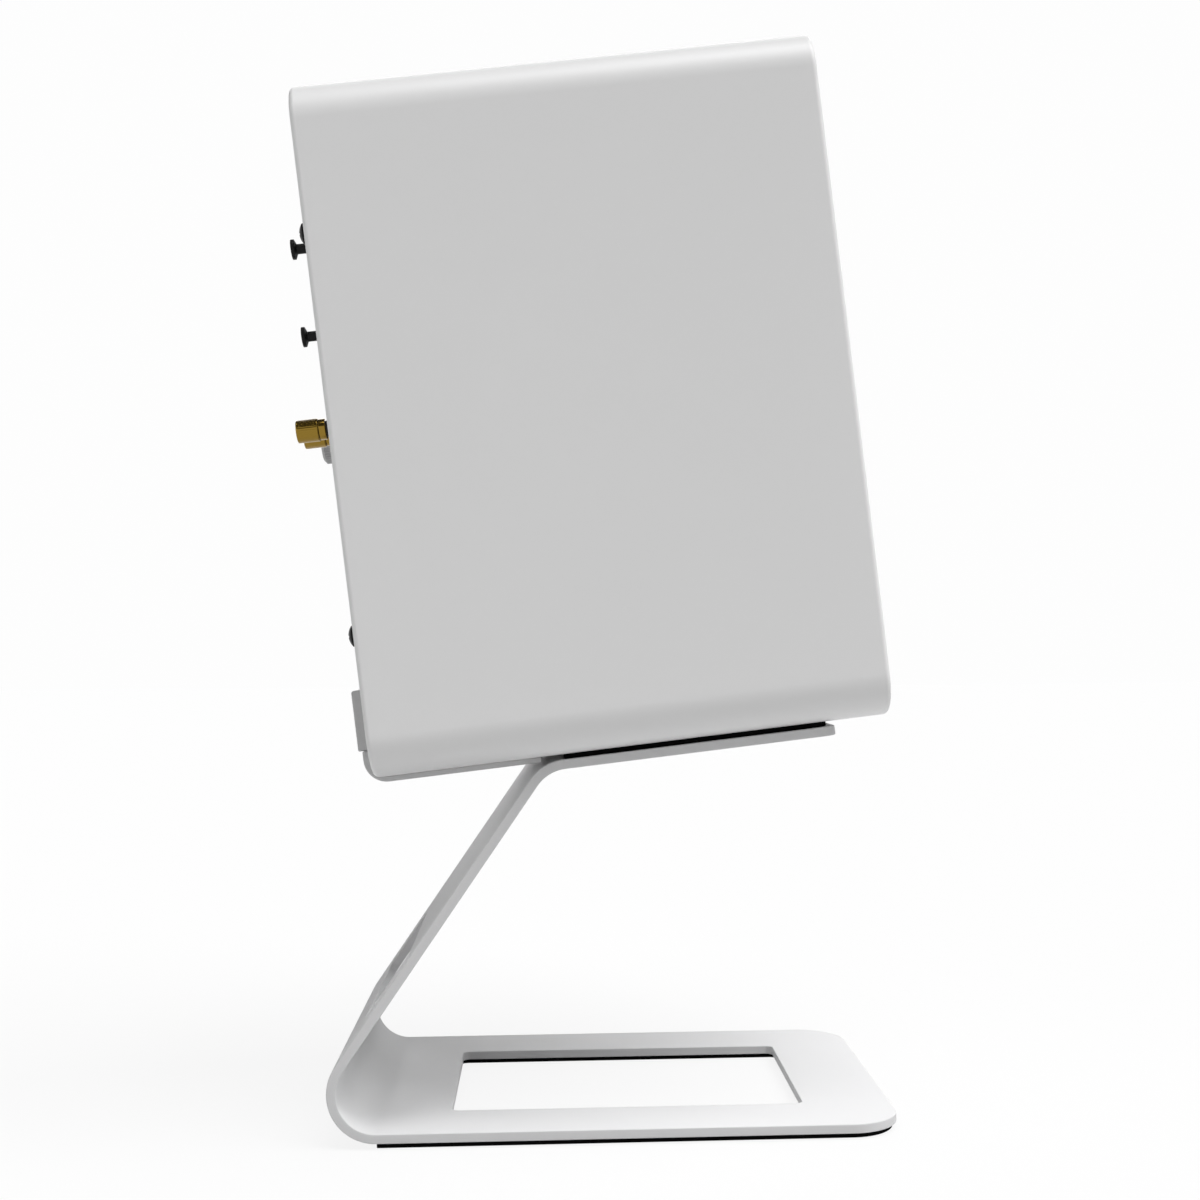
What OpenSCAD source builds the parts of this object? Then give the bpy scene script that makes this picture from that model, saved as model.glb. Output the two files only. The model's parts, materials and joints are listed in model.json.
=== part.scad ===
// Desktop loudspeaker that rests, tilted back, on a one-piece bent steel stand.
// Frame: +Z up, speaker front towards -Y, origin on the table under the middle of the stand's base.

/* [Stand] */
// Width of the bent plate
stand_w = 150; // [130:1:170]
// Length of the base from its front edge to the outside of the rear bend
base_depth = 219; // [200:1:240]
// Thickness of the steel plate
steel_t = 3.6; // [3:0.1:5]
// Inside radius of both bends
bend_r = 15; // [10:1:18]
// Distance between the centres of the two bends
arm_len = 129; // [110:1:150]
// Angle of the arm above the table
arm_angle = 55.4; // [45:0.2:65]
// Backward tilt of the top plate and of the speaker
tilt = 6.6; // [3:0.2:10]
// Flat length of the top plate in front of its bend
plate_len = 104; // [90:1:110]
// Corner radius of the base's front corners
base_corner_r = 20; // [10:1:24]
// Corner radius of the top plate's front corners
plate_corner_r = 5; // [3:1:12]
// Width of the window in the base
window_w = 90.6; // [70:0.2:96]
// Length of the window in the base
window_len = 139; // [100:1:142]
// Steel left in front of the window
front_rail = 34.5; // [30:0.5:45]
// Corner radius of the window and of the cable slot
window_r = 3; // [2:0.5:6]
// Width of the cable slot in the arm
slot_w = 100; // [60:1:110]
// Height of the cable slot, measured along the arm
slot_h = 30; // [20:1:40]
// Distance of the cable slot from the lower bend
slot_start = 15; // [8:1:20]

/* [Pads] */
// Thickness of the pad under the base
base_pad_t = 2; // [1:0.2:3]
// Thickness of the pad on the top plate
top_pad_t = 1.8; // [1:0.2:3]
// How far the pads stay inside the steel's edges
pad_inset = 1.5; // [1:0.5:4]

/* [Cabinet] */
// Cabinet width
cab_w = 175; // [170:1:190]
// Cabinet height
cab_h = 260; // [255:1:280]
// Cabinet depth
cab_d = 196; // [190:1:215]
// Radius of the four long edges that run from front to back
cab_r = 16; // [13:1:20]
// Wall thickness of the wrapped sleeve
wall = 9; // [8:0.5:11]
// Small round on the sleeve's front and rear edges
edge_r = 1.7; // [1:0.1:2]
// How far baffle and rear panel sit inside the sleeve's edges
panel_recess = 0.6; // [0.4:0.1:1]
// Thickness of the front baffle
baffle_t = 15; // [12:1:18]
// Thickness of the rear panel
rear_t = 12; // [10:1:15]
// How far the cabinet stands out in front of the top plate
front_overhang = 20.5; // [10:0.5:30]
// Gap left between the loose cabinet and the pad it rests on
rest_gap = 0.05; // [0.02:0.01:0.2]

/* [Drivers] */
// Height of the woofer's axis above the cabinet's bottom
woofer_z = 85; // [83:1:87]
// Height of the tweeter's axis above the cabinet's bottom
tweeter_z = 206; // [204:1:208]

/* [Rear controls] */
// Height of the row of terminals, level knob and line jacks
row_z = 137.5; // [130:0.5:145]
// Diameter of the level knob
knob_d = 14; // [12:0.5:16]
// Spacing of the two terminal posts
post_pitch = 19; // [18:0.5:22]
// Vertical spacing of the hanger screws
hanger_pitch_z = 35; // [30:1:40]
// Horizontal spacing of the hanger screws
hanger_pitch_x = 70; // [60:1:80]

/* [Hidden] */
$fn = 96;

// A cut runs this far past the face that it opens
past = 1;

// Stand, side view: bend centres and heights
base_top = base_pad_t + steel_t;
bend_out = bend_r + steel_t;
low_bend = [base_depth / 2 - bend_out, base_top + bend_r];
high_bend = low_bend + arm_len * [-cos(arm_angle), sin(arm_angle)];
arm_normal = 90 - arm_angle;
window_mid_y = -base_depth / 2 + front_rail + window_len / 2;

// Inside of the cabinet sleeve
in_w = cab_w - 2 * wall;
in_h = cab_h - 2 * wall;
corner_play = 1;
panel_corner_r = cab_r - wall + corner_play;
baffle_y = -cab_d / 2 + panel_recess;
rear_y = cab_d / 2 - panel_recess;

// Amplifier plate, set flush in a rebate of the rear panel
plate_t = 2.5;
gasket_t = 1;
plate_side_play = 0.5;
amp_plate_w = in_w - 2 * plate_side_play;
amp_plate_h = 172;
amp_plate_z = 130;
amp_window = [132, 146];
plate_in_y = rear_y - plate_t;
plate_screw_x = 70;
plate_screw_z = 76.2;
plate_screw_r = 1.8;
hanger_mid_z = 192.3;
hanger_r = 2;
hanger_pocket_r = 5;

// Rear controls, from left to right in two rows
post_left_x = -35.5;
post_right_x = post_left_x + post_pitch;
knob_x = 20;
bush_r = 3.5;
bush_len = 4;
shaft_r = 3;
shaft_len = 14;
jack_xs = [40, 58];
jack_body_r = 4;
low_row_z = 68;
inlet_x = -45;
inlet_body = [27, 19];
switch_x = 0;
switch_body = [13, 19];

// Terminal posts: sizes outward from the amplifier plate
post_r = 2.6;
banana_r = 2;
banana_depth = 14;
run_gap = 0.05;
collar_r = 3.3;
collar_len = 7;
collar_back_t = 1.5;
sleeve_r = 4.2;
sleeve_len = 2.8;
nut_r = 4.55;
nut_len = 8.8;
nut_lip = 0.4;
flute_count = 20;
post_end = collar_len + sleeve_len + nut_len - nut_lip;

// Rocker switch
rocker_w = 10;
rocker_half = 7;
rocker_lean = 7;
pivot_r = 1;

// Circuit board behind the amplifier plate
board = [120, 1.6, 50];
board_z = 178;
standoff_len = 10;
board_out_y = plate_in_y - standoff_len;
board_in_y = board_out_y - board[1];

// Ring transformer on the floor of the cabinet
transformer_y = 40;
core_w = 24;
core_h = 28;

// Woofer, depths behind the baffle's front face
flange_r = 71;
flange_t = 4.5;
woofer_hole_r = 61;
woofer_screw_circle = 66;
woofer_screw_r = 1.9;
woofer_head_r = 3.9;
rim_in = 60;
shelf_z = -1.5;
roll_mid_r = 50.4;
roll_r = 4.6;
roll_t = 0.9;
rim_z = shelf_z - run_gap;
cone_rim_r = 46.5;
cone_in_r = 43.5;
cone_bend = 1.15;
cone_t = 0.9;
coil_r = 13.05;
neck_z = -20.2;
spider_z = -29;
spider_r = 43.8;
cup_r = 44;
cup_z = -41;
top_plate_t = 5;
magnet_t = 15;
yoke_t = 6;
cap_r = 18;
cap_rise = 6;

// Tweeter, depths behind the baffle's front face
face_r = 40;
face_t = 4;
face_screw_circle = 35;
face_screw_r = 1.6;
face_head_r = 3.2;
throat_r = 16;
motor_r = 29;
motor_z = -8;
face_plate_t = 3.5;
face_yoke_t = 4;
face_motor_t = 16;
dome_r = 12.6;
dome_rise = 4.5;
dome_z = -7.4;

// Speaker frame: X across, -Y to the front, +Z up, origin at the middle of the cabinet's bottom
module in_speaker() {
    on_top_plate()
        translate([0, -(plate_len + front_overhang - cab_d / 2), top_pad_t + rest_gap])
            children();
}

// Centre of the lower bend
module on_low_bend() {
    translate([0, low_bend[0], low_bend[1]])
        children();
}

// Centre of the upper bend, tilted with the top plate
module on_high_bend() {
    translate([0, high_bend[0], high_bend[1]])
        rotate([-tilt, 0, 0])
            children();
}

// Top of the steel plate where it leaves the upper bend
module on_top_plate() {
    on_high_bend()
        translate([0, 0, bend_out])
            children();
}

// Driver frame: Z out through the baffle, 0 at the baffle's front face
module on_driver_axis(height) {
    in_speaker()
        translate([0, baffle_y, height])
            rotate([90, 0, 0])
                children();
}

// Terminal frame: Z out through the back, 0 at the amplifier plate's outer face
module on_amp_plate(x, z) {
    in_speaker()
        translate([x, rear_y, z])
            rotate([-90, 0, 0])
                children();
}

// Rounded rectangle, centred
module rounded_rect(w, h, r) {
    difference() {
        square([w, h], center = true);
        for (sx = [-1, 1], sy = [-1, 1])
            translate([sx * (w / 2 - r), sy * (h / 2 - r)])
                corner_waste(sx, sy, r);
    }
}

// What a round of radius r takes off one corner
module corner_waste(sx, sy, r) {
    difference() {
        translate([sx > 0 ? 0 : -r - past, sy > 0 ? 0 : -r - past])
            square(r + past);
        circle(r);
    }
}

// Ring in the driver or terminal frame
module ring(outer, inner, z0, z1) {
    translate([0, 0, z0])
        difference() {
            cylinder(r = outer, h = z1 - z0);
            translate([0, 0, -past])
                cylinder(r = inner, h = z1 - z0 + 2 * past);
        }
}

// Flat run of a plate, r above a bend's centre, from the bend towards the front
module flat_run(r, thick, length, width) {
    translate([-width / 2, -length, r])
        cube([width, length, thick]);
}

// Bent run of a plate round a bend's centre, from the upright (sense 1) or from straight below (sense -1)
module bent_run(r, thick, turn, width, sense) {
    translate([-width / 2, 0, 0])
        rotate([90, 0, 90])
            rotate(sense * 90)
                rotate_extrude(angle = -sense * turn)
                    translate([r, 0])
                        square([thick, width]);
}

// Extrudes a side view across the object
module across(width) {
    rotate([90, 0, 90])
        translate([0, 0, -width / 2])
            linear_extrude(width)
                children();
}

// Cutter that rounds the two corners of a plate's front end, in the plate's own plan
module end_corners(width, r, thick) {
    for (side = [-1, 1])
        translate([side * (width / 2 - r), r, -past])
            linear_extrude(thick + 2 * past)
                corner_waste(side, -1, r);
}

// One steel plate, cut, bent twice and powder coated
module stand_frame() {
    color("white")
        difference() {
            union() {
                on_low_bend() {
                    flat_run(-bend_out, steel_t, low_bend[0] + base_depth / 2, stand_w);
                    bent_run(bend_r, steel_t, 90 + arm_normal, stand_w, -1);
                    arm_flat();
                }
                on_high_bend() {
                    flat_run(bend_r, steel_t, plate_len, stand_w);
                    bent_run(bend_r, steel_t, arm_angle - tilt, stand_w, 1);
                }
            }
            translate([0, -base_depth / 2, base_pad_t])
                end_corners(stand_w, base_corner_r, steel_t);
            on_top_plate()
                translate([0, -plate_len, -steel_t])
                    end_corners(stand_w, plate_corner_r, steel_t);
            translate([0, window_mid_y, base_pad_t - past])
                linear_extrude(steel_t + 2 * past)
                    rounded_rect(window_w, window_len, window_r);
            on_low_bend()
                rotate([arm_normal, 0, 0])
                    translate([0, bend_r - past, slot_start + slot_h / 2])
                        rotate([-90, 0, 0])
                            linear_extrude(steel_t + 2 * past)
                                rounded_rect(slot_w, slot_h, window_r);
        }
}

// Flat of the arm: it runs a little way into both bends, a hair thinner than they are, so that they fuse
module arm_flat() {
    hair = 0.01;
    overlap = 0.4;
    rotate([arm_normal, 0, 0])
        translate([-stand_w / 2, bend_r + hair, -overlap])
            cube([stand_w, steel_t - 2 * hair, arm_len + 2 * overlap]);
}

// Black pad glued under the base, open under the window
module base_pad() {
    pad_w = stand_w - 2 * pad_inset;
    pad_front = -base_depth / 2 + pad_inset;
    color("black")
        difference() {
            translate([-pad_w / 2, pad_front, 0])
                cube([pad_w, low_bend[0] - pad_front, base_pad_t]);
            translate([0, pad_front, 0])
                end_corners(pad_w, base_corner_r - pad_inset, base_pad_t);
            translate([0, window_mid_y, -past])
                linear_extrude(base_pad_t + 2 * past)
                    rounded_rect(window_w + 2 * pad_inset, window_len + 2 * pad_inset, window_r);
        }
}

// Black pad glued on the flat of the top plate, up to the bend
module top_pad() {
    pad_w = stand_w - 2 * pad_inset;
    pad_len = plate_len - 2 * pad_inset;
    color("black")
        difference() {
            on_high_bend()
                flat_run(bend_out, top_pad_t, pad_len, pad_w);
            on_top_plate()
                translate([0, -pad_len, 0])
                    end_corners(pad_w, plate_corner_r, top_pad_t);
        }
}

// Cross-section of the sleeve's wall: X inward from its outer face is negative, Y runs front to back
module wall_section() {
    difference() {
        translate([-wall, -cab_d / 2])
            square([wall, cab_d]);
        for (side = [-1, 1])
            translate([-edge_r, side * (cab_d / 2 - edge_r)])
                corner_waste(1, side, edge_r);
    }
}

// Sleeve of bent board: the wall section carried round a rounded rectangle
module cabinet_sleeve() {
    half_w = cab_w / 2;
    half_h = cab_h / 2;
    color("whitesmoke")
        in_speaker()
            translate([0, 0, half_h])
                rotate([90, 0, 0])
                    for (turn = [0, 180])
                        rotate(turn) {
                            translate([half_w, half_h - cab_r, 0])
                                rotate([90, 0, 0])
                                    linear_extrude(cab_h - 2 * cab_r)
                                        wall_section();
                            translate([cab_r - half_w, half_h, 0])
                                rotate([90, 0, 90])
                                    linear_extrude(cab_w - 2 * cab_r)
                                        wall_section();
                            for (side = [0, 1])
                                mirror([side, 0, 0])
                                    translate([half_w - cab_r, half_h - cab_r, 0])
                                        rotate_extrude(angle = 90)
                                            translate([cab_r, 0])
                                                wall_section();
                        }
}

// Board that fills the sleeve, in the driver frame's plan
module panel_blank(thick) {
    linear_extrude(thick)
        rounded_rect(in_w, in_h, panel_corner_r);
}

// Places children at four corner screws of a round flange
module at_flange_screws(r) {
    for (i = [0:3])
        rotate(45 + 90 * i)
            translate([r, 0, 0])
                children();
}

module front_baffle() {
    seat_gap = 0.3;
    color("whitesmoke")
        difference() {
            on_driver_axis(cab_h / 2)
                translate([0, 0, -baffle_t])
                    panel_blank(baffle_t);
            on_driver_axis(woofer_z) {
                drill(flange_r + seat_gap, flange_t + gasket_t);
                drill(woofer_hole_r, baffle_t + past);
                at_flange_screws(woofer_screw_circle)
                    drill(woofer_screw_r, baffle_t + past);
            }
            on_driver_axis(tweeter_z) {
                drill(face_r + seat_gap, face_t);
                drill(motor_r + past, baffle_t + past);
                at_flange_screws(face_screw_circle)
                    drill(face_screw_r, baffle_t + past);
            }
        }
}

// Round hole from z 0 down to a depth
module drill(r, depth) {
    translate([0, 0, -depth])
        cylinder(r = r, h = depth + past);
}

// Rectangular hole through the amplifier plate
module cutout(size) {
    translate([0, 0, -plate_t - past])
        linear_extrude(plate_t + 2 * past)
            square(size, center = true);
}

// Places children at the four corner screws of the amplifier plate
module at_plate_screws() {
    for (sx = [-1, 1], sz = [-1, 1])
        on_amp_plate(sx * plate_screw_x, amp_plate_z + sz * plate_screw_z)
            children();
}

// Places children at the four hanger screws
module at_hangers() {
    for (sx = [-1, 1], sz = [-1, 1])
        on_amp_plate(sx * hanger_pitch_x / 2, hanger_mid_z + sz * hanger_pitch_z / 2)
            children();
}

// Places children on the axes of the two terminal posts
module at_posts() {
    for (x = [post_left_x, post_right_x])
        on_amp_plate(x, row_z)
            children();
}

// Places children on the axes of the two line jacks
module at_jacks() {
    for (x = jack_xs)
        on_amp_plate(x, row_z)
            children();
}

module rear_panel() {
    seat_gap = 0.2;
    color("whitesmoke")
        difference() {
            in_speaker()
                translate([0, rear_y, cab_h / 2])
                    rotate([90, 0, 0])
                        panel_blank(rear_t);
            on_amp_plate(0, amp_plate_z) {
                translate([0, 0, -plate_t - gasket_t])
                    linear_extrude(plate_t + gasket_t + past)
                        square([in_w + 2 * past, amp_plate_h + 2 * seat_gap], center = true);
                translate([0, 0, -rear_t - past])
                    linear_extrude(rear_t + past)
                        square(amp_window, center = true);
            }
            at_plate_screws()
                drill(plate_screw_r, rear_t + past);
            at_hangers()
                drill(hanger_pocket_r, rear_t + past);
        }
}

// Foam pad under the roof of the cabinet
module damping_pad() {
    pad = [140, 120, 18];
    behind_middle = 5;
    color("dimgray")
        in_speaker()
            translate([-pad[0] / 2, -pad[1] / 2 + behind_middle, cab_h - wall - pad[2]])
                cube(pad);
}

// Grey moulding that wraps the lower rear edge, thinner round the corner
module corner_guard() {
    guard_w = 142;
    under = 2.2;
    behind = 3.6;
    forward = 63;
    rise = 10.2;
    round_r = 8.8;
    outer_y = cab_d / 2 + behind;
    color("gray")
        in_speaker()
            across(guard_w)
                difference() {
                    translate([cab_d / 2 - forward, -under])
                        square([forward + behind, rise + under]);
                    translate([outer_y - round_r, round_r - under])
                        corner_waste(1, -1, round_r);
                    difference() {
                        translate([-cab_d / 2, 0])
                            square([cab_d, cab_h]);
                        translate([cab_d / 2 - edge_r, edge_r])
                            corner_waste(1, -1, edge_r);
                    }
                }
}

// Grey bar above the guard, which keeps the back off a wall
module wall_bumper() {
    bar_w = 140;
    bar_z = [10.3, 33.3];
    bar_h = bar_z[1] - bar_z[0];
    out = 5.2 + panel_recess;
    top_r = 1;
    low_r = 0.6;
    color("gray")
        in_speaker()
            across(bar_w)
                translate([rear_y, bar_z[0]])
                    difference() {
                        square([out, bar_h]);
                        translate([out - top_r, bar_h - top_r])
                            corner_waste(1, 1, top_r);
                        translate([out - low_r, low_r])
                            corner_waste(1, -1, low_r);
                    }
}

module amp_plate() {
    play = 0.3;
    through = plate_t + past;
    color("silver")
        difference() {
            on_amp_plate(0, amp_plate_z)
                translate([0, 0, -plate_t])
                    linear_extrude(plate_t)
                        square([amp_plate_w, amp_plate_h], center = true);
            at_plate_screws()
                drill(plate_screw_r + play, through);
            at_hangers()
                drill(hanger_r, through);
            at_posts()
                drill(collar_r, through);
            on_amp_plate(knob_x, row_z)
                drill(bush_r, through);
            at_jacks()
                drill(jack_body_r, through);
            on_amp_plate(inlet_x, low_row_z)
                cutout(inlet_body);
            on_amp_plate(switch_x, low_row_z)
                cutout(switch_body);
        }
}

module plate_gasket() {
    play = 0.4;
    color("black")
        difference() {
            on_amp_plate(0, amp_plate_z)
                translate([0, 0, -plate_t - gasket_t])
                    linear_extrude(gasket_t)
                        difference() {
                            square([amp_plate_w, amp_plate_h], center = true);
                            square(amp_window, center = true);
                        }
            at_plate_screws()
                drill(plate_screw_r + play, plate_t + gasket_t + past);
            at_hangers()
                drill(hanger_pocket_r, plate_t + gasket_t + past);
        }
}

// Cutter for the cross recess of a screw's head, from z up
module cross_slot(size, z) {
    for (turn = [0, 90])
        rotate(turn)
            translate([-size[0] / 2, -size[1] / 2, z])
                cube([size[0], size[1], size[0]]);
}

// Pan head with a cross recess; z 0 is under the head
module pan_head(r, h) {
    ball_r = 1.6 * r;
    slot = [1.1 * r, 0.18 * r];
    slot_depth = 0.4 * h;
    difference() {
        rotate_extrude()
            intersection() {
                translate([0, h - ball_r])
                    circle(ball_r);
                square([r, h]);
            }
        cross_slot(slot, h - slot_depth);
    }
}

// Four pan-head screws with washers that hold the amplifier plate
module plate_screws() {
    washer_r = 4.5;
    washer_t = 1;
    head_r = 4;
    head_h = 3.1;
    shank = rear_t - 1;
    color("black")
        at_plate_screws() {
            cylinder(r = washer_r, h = washer_t);
            translate([0, 0, washer_t])
                pan_head(head_r, head_h);
            translate([0, 0, -shank])
                cylinder(r = plate_screw_r, h = shank + washer_t);
        }
}

// Four screws with flat heads, left standing out of the plate to hang the speaker on a keyhole bracket
module hanger_screws() {
    stand_out = 9.9;
    head_r = 4;
    neck_h = 0.9;
    rim_h = 1.3;
    slot = [4.4, 0.8];
    slot_depth = 0.8;
    nut_h = 3.2;
    tail = plate_t + nut_h + 0.8;
    color("black")
        at_hangers() {
            difference() {
                translate([0, 0, stand_out]) {
                    cylinder(r1 = hanger_r, r2 = head_r, h = neck_h);
                    translate([0, 0, neck_h])
                        cylinder(r = head_r, h = rim_h);
                }
                cross_slot(slot, stand_out + neck_h + rim_h - slot_depth);
            }
            translate([0, 0, -tail])
                cylinder(r = hanger_r, h = stand_out + tail);
            translate([0, 0, -plate_t - nut_h])
                cylinder(r = head_r, h = nut_h, $fn = 6);
        }
}

// Black insulators that carry the terminal posts through the plate
module post_collars() {
    rim_r = 6;
    rim_t = 2;
    color("black")
        at_posts() {
            ring(collar_r, post_r, -plate_t, collar_len);
            ring(rim_r, collar_r, 0, rim_t);
            ring(rim_r, collar_r, -plate_t - collar_back_t, -plate_t);
            ring(collar_r, post_r, -plate_t - collar_back_t, -plate_t);
        }
}

// Gold posts with a hole for a 4 mm plug in the outer end and a nut behind the plate
module post_studs() {
    back_nut_r = 4;
    back_nut_t = 3;
    back_z = -plate_t - collar_back_t;
    tail = plate_t + 9;
    color("gold")
        at_posts() {
            difference() {
                translate([0, 0, -tail])
                    cylinder(r = post_r, h = post_end + tail);
                translate([0, 0, post_end])
                    drill(banana_r, banana_depth);
            }
            ring(back_nut_r, post_r, back_z - back_nut_t, back_z);
        }
}

// Smooth captive sleeve that clamps a bare wire against the collar
module clamp_sleeve(x) {
    color("gold")
        on_amp_plate(x, row_z)
            ring(sleeve_r, post_r + run_gap, collar_len + run_gap, collar_len + sleeve_len);
}

module clamp_sleeve_left() {
    clamp_sleeve(post_left_x);
}

module clamp_sleeve_right() {
    clamp_sleeve(post_right_x);
}

// Fluted nut that screws along the post
module post_nut(x) {
    flute_r = 0.45;
    flute_out = 0.1;
    margin = 0.8;
    z0 = collar_len + sleeve_len + run_gap;
    color("gold")
        on_amp_plate(x, row_z)
            difference() {
                ring(nut_r, post_r + run_gap, z0, z0 + nut_len);
                for (i = [0:flute_count - 1])
                    rotate(360 / flute_count * i)
                        translate([nut_r + flute_out, 0, z0 + margin])
                            cylinder(r = flute_r, h = nut_len - 2 * margin, $fn = 24);
            }
}

module post_nut_left() {
    post_nut(post_left_x);
}

module post_nut_right() {
    post_nut(post_right_x);
}

// Potentiometer body with its threaded bush and nut
module level_pot() {
    body = [16, 16, 9];
    nut_r = 5;
    nut_t = 2;
    bore_depth = plate_t + 7;
    color("darkslategray")
        on_amp_plate(knob_x, row_z)
            difference() {
                union() {
                    translate([-body[0] / 2, -body[1] / 2, -plate_t - body[2]])
                        cube(body);
                    translate([0, 0, -plate_t])
                        cylinder(r = bush_r, h = plate_t + bush_len);
                    cylinder(r = nut_r, h = nut_t, $fn = 6);
                }
                translate([0, 0, -bore_depth])
                    cylinder(r = shaft_r + run_gap, h = bore_depth + bush_len + past);
            }
}

module level_shaft() {
    tail = plate_t + 6.7;
    color("silver")
        on_amp_plate(knob_x, row_z)
            translate([0, 0, -tail])
                cylinder(r = shaft_r, h = tail + shaft_len);
}

// Knurled knob pressed on the shaft, with a hollow skirt and a groove that points up
module level_knob() {
    knob_r = knob_d / 2;
    z0 = 2.6;
    z1 = 16.2;
    rib = [0.6, 0.5];
    rib_out = 0.3;
    rib_margin = 0.6;
    rib_count = 36;
    chamfer = 1.2;
    skirt_r = 5.6;
    skirt_h = 2.4;
    groove = [0.8, 4, 0.6];
    groove_inset = 0.5;
    core_r = knob_r - rib_out;
    color("gray")
        on_amp_plate(knob_x, row_z)
            difference() {
                union() {
                    translate([0, 0, z0])
                        cylinder(r = core_r, h = z1 - z0 - chamfer);
                    translate([0, 0, z1 - chamfer])
                        cylinder(r1 = core_r, r2 = core_r - chamfer, h = chamfer);
                    for (i = [0:rib_count - 1])
                        rotate(360 / rib_count * i)
                            translate([knob_r - rib[0], -rib[1] / 2, z0 + rib_margin])
                                cube([rib[0], rib[1], z1 - z0 - chamfer - 2 * rib_margin]);
                }
                translate([0, 0, z0 - past])
                    cylinder(r = skirt_r, h = skirt_h + past);
                translate([0, 0, z0])
                    cylinder(r = shaft_r, h = shaft_len - z0);
                translate([-groove[0] / 2, groove_inset - knob_r, z1 - groove[2]])
                    cube([groove[0], groove[1], groove[2] + past]);
            }
}

// Phono sockets: flange, barrel, centre contact and the nut behind the plate
module line_jacks() {
    rim_r = 5.4;
    rim_t = 1.6;
    barrel_r = 4.15;
    barrel_bore = 3.2;
    barrel_end = 9.6;
    contact_r = 1.6;
    contact_end = 3;
    back_nut_r = 6;
    back_nut_t = 2;
    tail = plate_t + 6;
    color("gold")
        at_jacks() {
            ring(rim_r, contact_r, 0, rim_t);
            ring(jack_body_r, contact_r, -tail, 0);
            ring(barrel_r, barrel_bore, rim_t, barrel_end);
            ring(back_nut_r, jack_body_r, -plate_t - back_nut_t, -plate_t);
            ring(barrel_bore, contact_r, rim_t, contact_end);
        }
}

// Two-pin mains socket; the lead is not part of the object
module mains_inlet() {
    rim = [33, 24];
    rim_t = 1.6;
    rim_r = 3;
    body_depth = 16;
    pin_pitch = 8.4;
    pin_r = 1.2;
    pin_len = 7;
    socket_r = 4.3;
    waist = 6.6;
    deep = 12;
    color("black")
        on_amp_plate(inlet_x, low_row_z) {
            difference() {
                union() {
                    linear_extrude(rim_t)
                        rounded_rect(rim[0], rim[1], rim_r);
                    translate([0, 0, -body_depth])
                        linear_extrude(body_depth)
                            square(inlet_body, center = true);
                }
                translate([0, 0, rim_t - deep])
                    linear_extrude(deep + past) {
                        for (side = [-1, 1])
                            translate([side * pin_pitch / 2, 0])
                                circle(socket_r);
                        square([pin_pitch, waist], center = true);
                    }
            }
            for (side = [-1, 1])
                translate([side * pin_pitch / 2, 0, rim_t - deep])
                    cylinder(r = pin_r, h = pin_len);
        }
}

// Frame of the power switch, with the bearings of its rocker
module switch_bezel() {
    rim = 21.4;
    rim_t = 1.6;
    rim_r = 2;
    body_depth = 12;
    well = [rocker_w + 0.8, 2 * rocker_half + 1.2];
    well_depth = 6;
    bearing_len = rocker_w + 3.2;
    color("black")
        on_amp_plate(switch_x, low_row_z)
            difference() {
                union() {
                    linear_extrude(rim_t)
                        rounded_rect(rim, rim, rim_r);
                    translate([0, 0, -body_depth])
                        linear_extrude(body_depth)
                            square(switch_body, center = true);
                }
                translate([0, 0, -well_depth])
                    linear_extrude(well_depth + rim_t + past)
                        square(well, center = true);
                rotate([0, 90, 0])
                    translate([0, 0, -bearing_len / 2])
                        cylinder(r = pivot_r + run_gap, h = bearing_len);
            }
}

// Rocker, resting with its lower half pressed in; its section is drawn with X down into the switch
module switch_rocker() {
    below = 2.2;
    end_rise = 2.6;
    mid_rise = 1.4;
    pivot_len = rocker_w + 2.8;
    color("black")
        on_amp_plate(switch_x, low_row_z)
            rotate([-rocker_lean, 0, 0])
                rotate([0, 90, 0]) {
                    translate([0, 0, -rocker_w / 2])
                        linear_extrude(rocker_w)
                            polygon([[below, -rocker_half], [below, rocker_half], [-end_rise, rocker_half],
                                [-mid_rise, 0], [-end_rise, -rocker_half]]);
                    translate([0, 0, -pivot_len / 2])
                        cylinder(r = pivot_r, h = pivot_len);
                }
}

module amp_board() {
    color("darkgreen")
        in_speaker()
            translate([-board[0] / 2, board_in_y, board_z - board[2] / 2])
                cube(board);
}

// Hexagon pillars at the board's four corners
module board_standoffs() {
    pillar_x = board[0] / 2 - 5;
    pillar_z = board[2] / 2 - 4;
    pillar_r = 3;
    color("silver")
        for (sx = [-1, 1], sz = [-1, 1])
            in_speaker()
                translate([sx * pillar_x, board_out_y, board_z + sz * pillar_z])
                    rotate([-90, 0, 0])
                        cylinder(r = pillar_r, h = standoff_len, $fn = 6);
}

// Finned block on the board's inner side
module heat_sink() {
    sink = [70, 24, 28];
    base_t = 4;
    fin_count = 8;
    fin_t = 2;
    root = 0.1;
    step = (sink[0] - fin_t) / (fin_count - 1);
    color("dimgray")
        in_speaker()
            translate([-sink[0] / 2, board_in_y - sink[1], board_z - sink[2] / 2]) {
                translate([0, sink[1] - base_t, 0])
                    cube([sink[0], base_t, sink[2]]);
                for (i = [0:fin_count - 1])
                    translate([i * step, 0, 0])
                        cube([fin_t, sink[1] - base_t + root, sink[2]]);
            }
}

module capacitors() {
    can_x = 47;
    can_r = 9;
    can_len = 26;
    color("midnightblue")
        for (side = [-1, 1])
            in_speaker()
                translate([side * can_x, board_in_y, board_z])
                    rotate([90, 0, 0])
                        cylinder(r = can_r, h = can_len);
}

// Toroidal transformer on the cabinet's floor
module transformer() {
    hole_r = 11;
    core_r = 6;
    color("goldenrod")
        in_speaker()
            translate([0, transformer_y, wall])
                rotate_extrude()
                    translate([hole_r + core_w / 2, core_h / 2])
                        rounded_rect(core_w, core_h, core_r);
}

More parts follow.
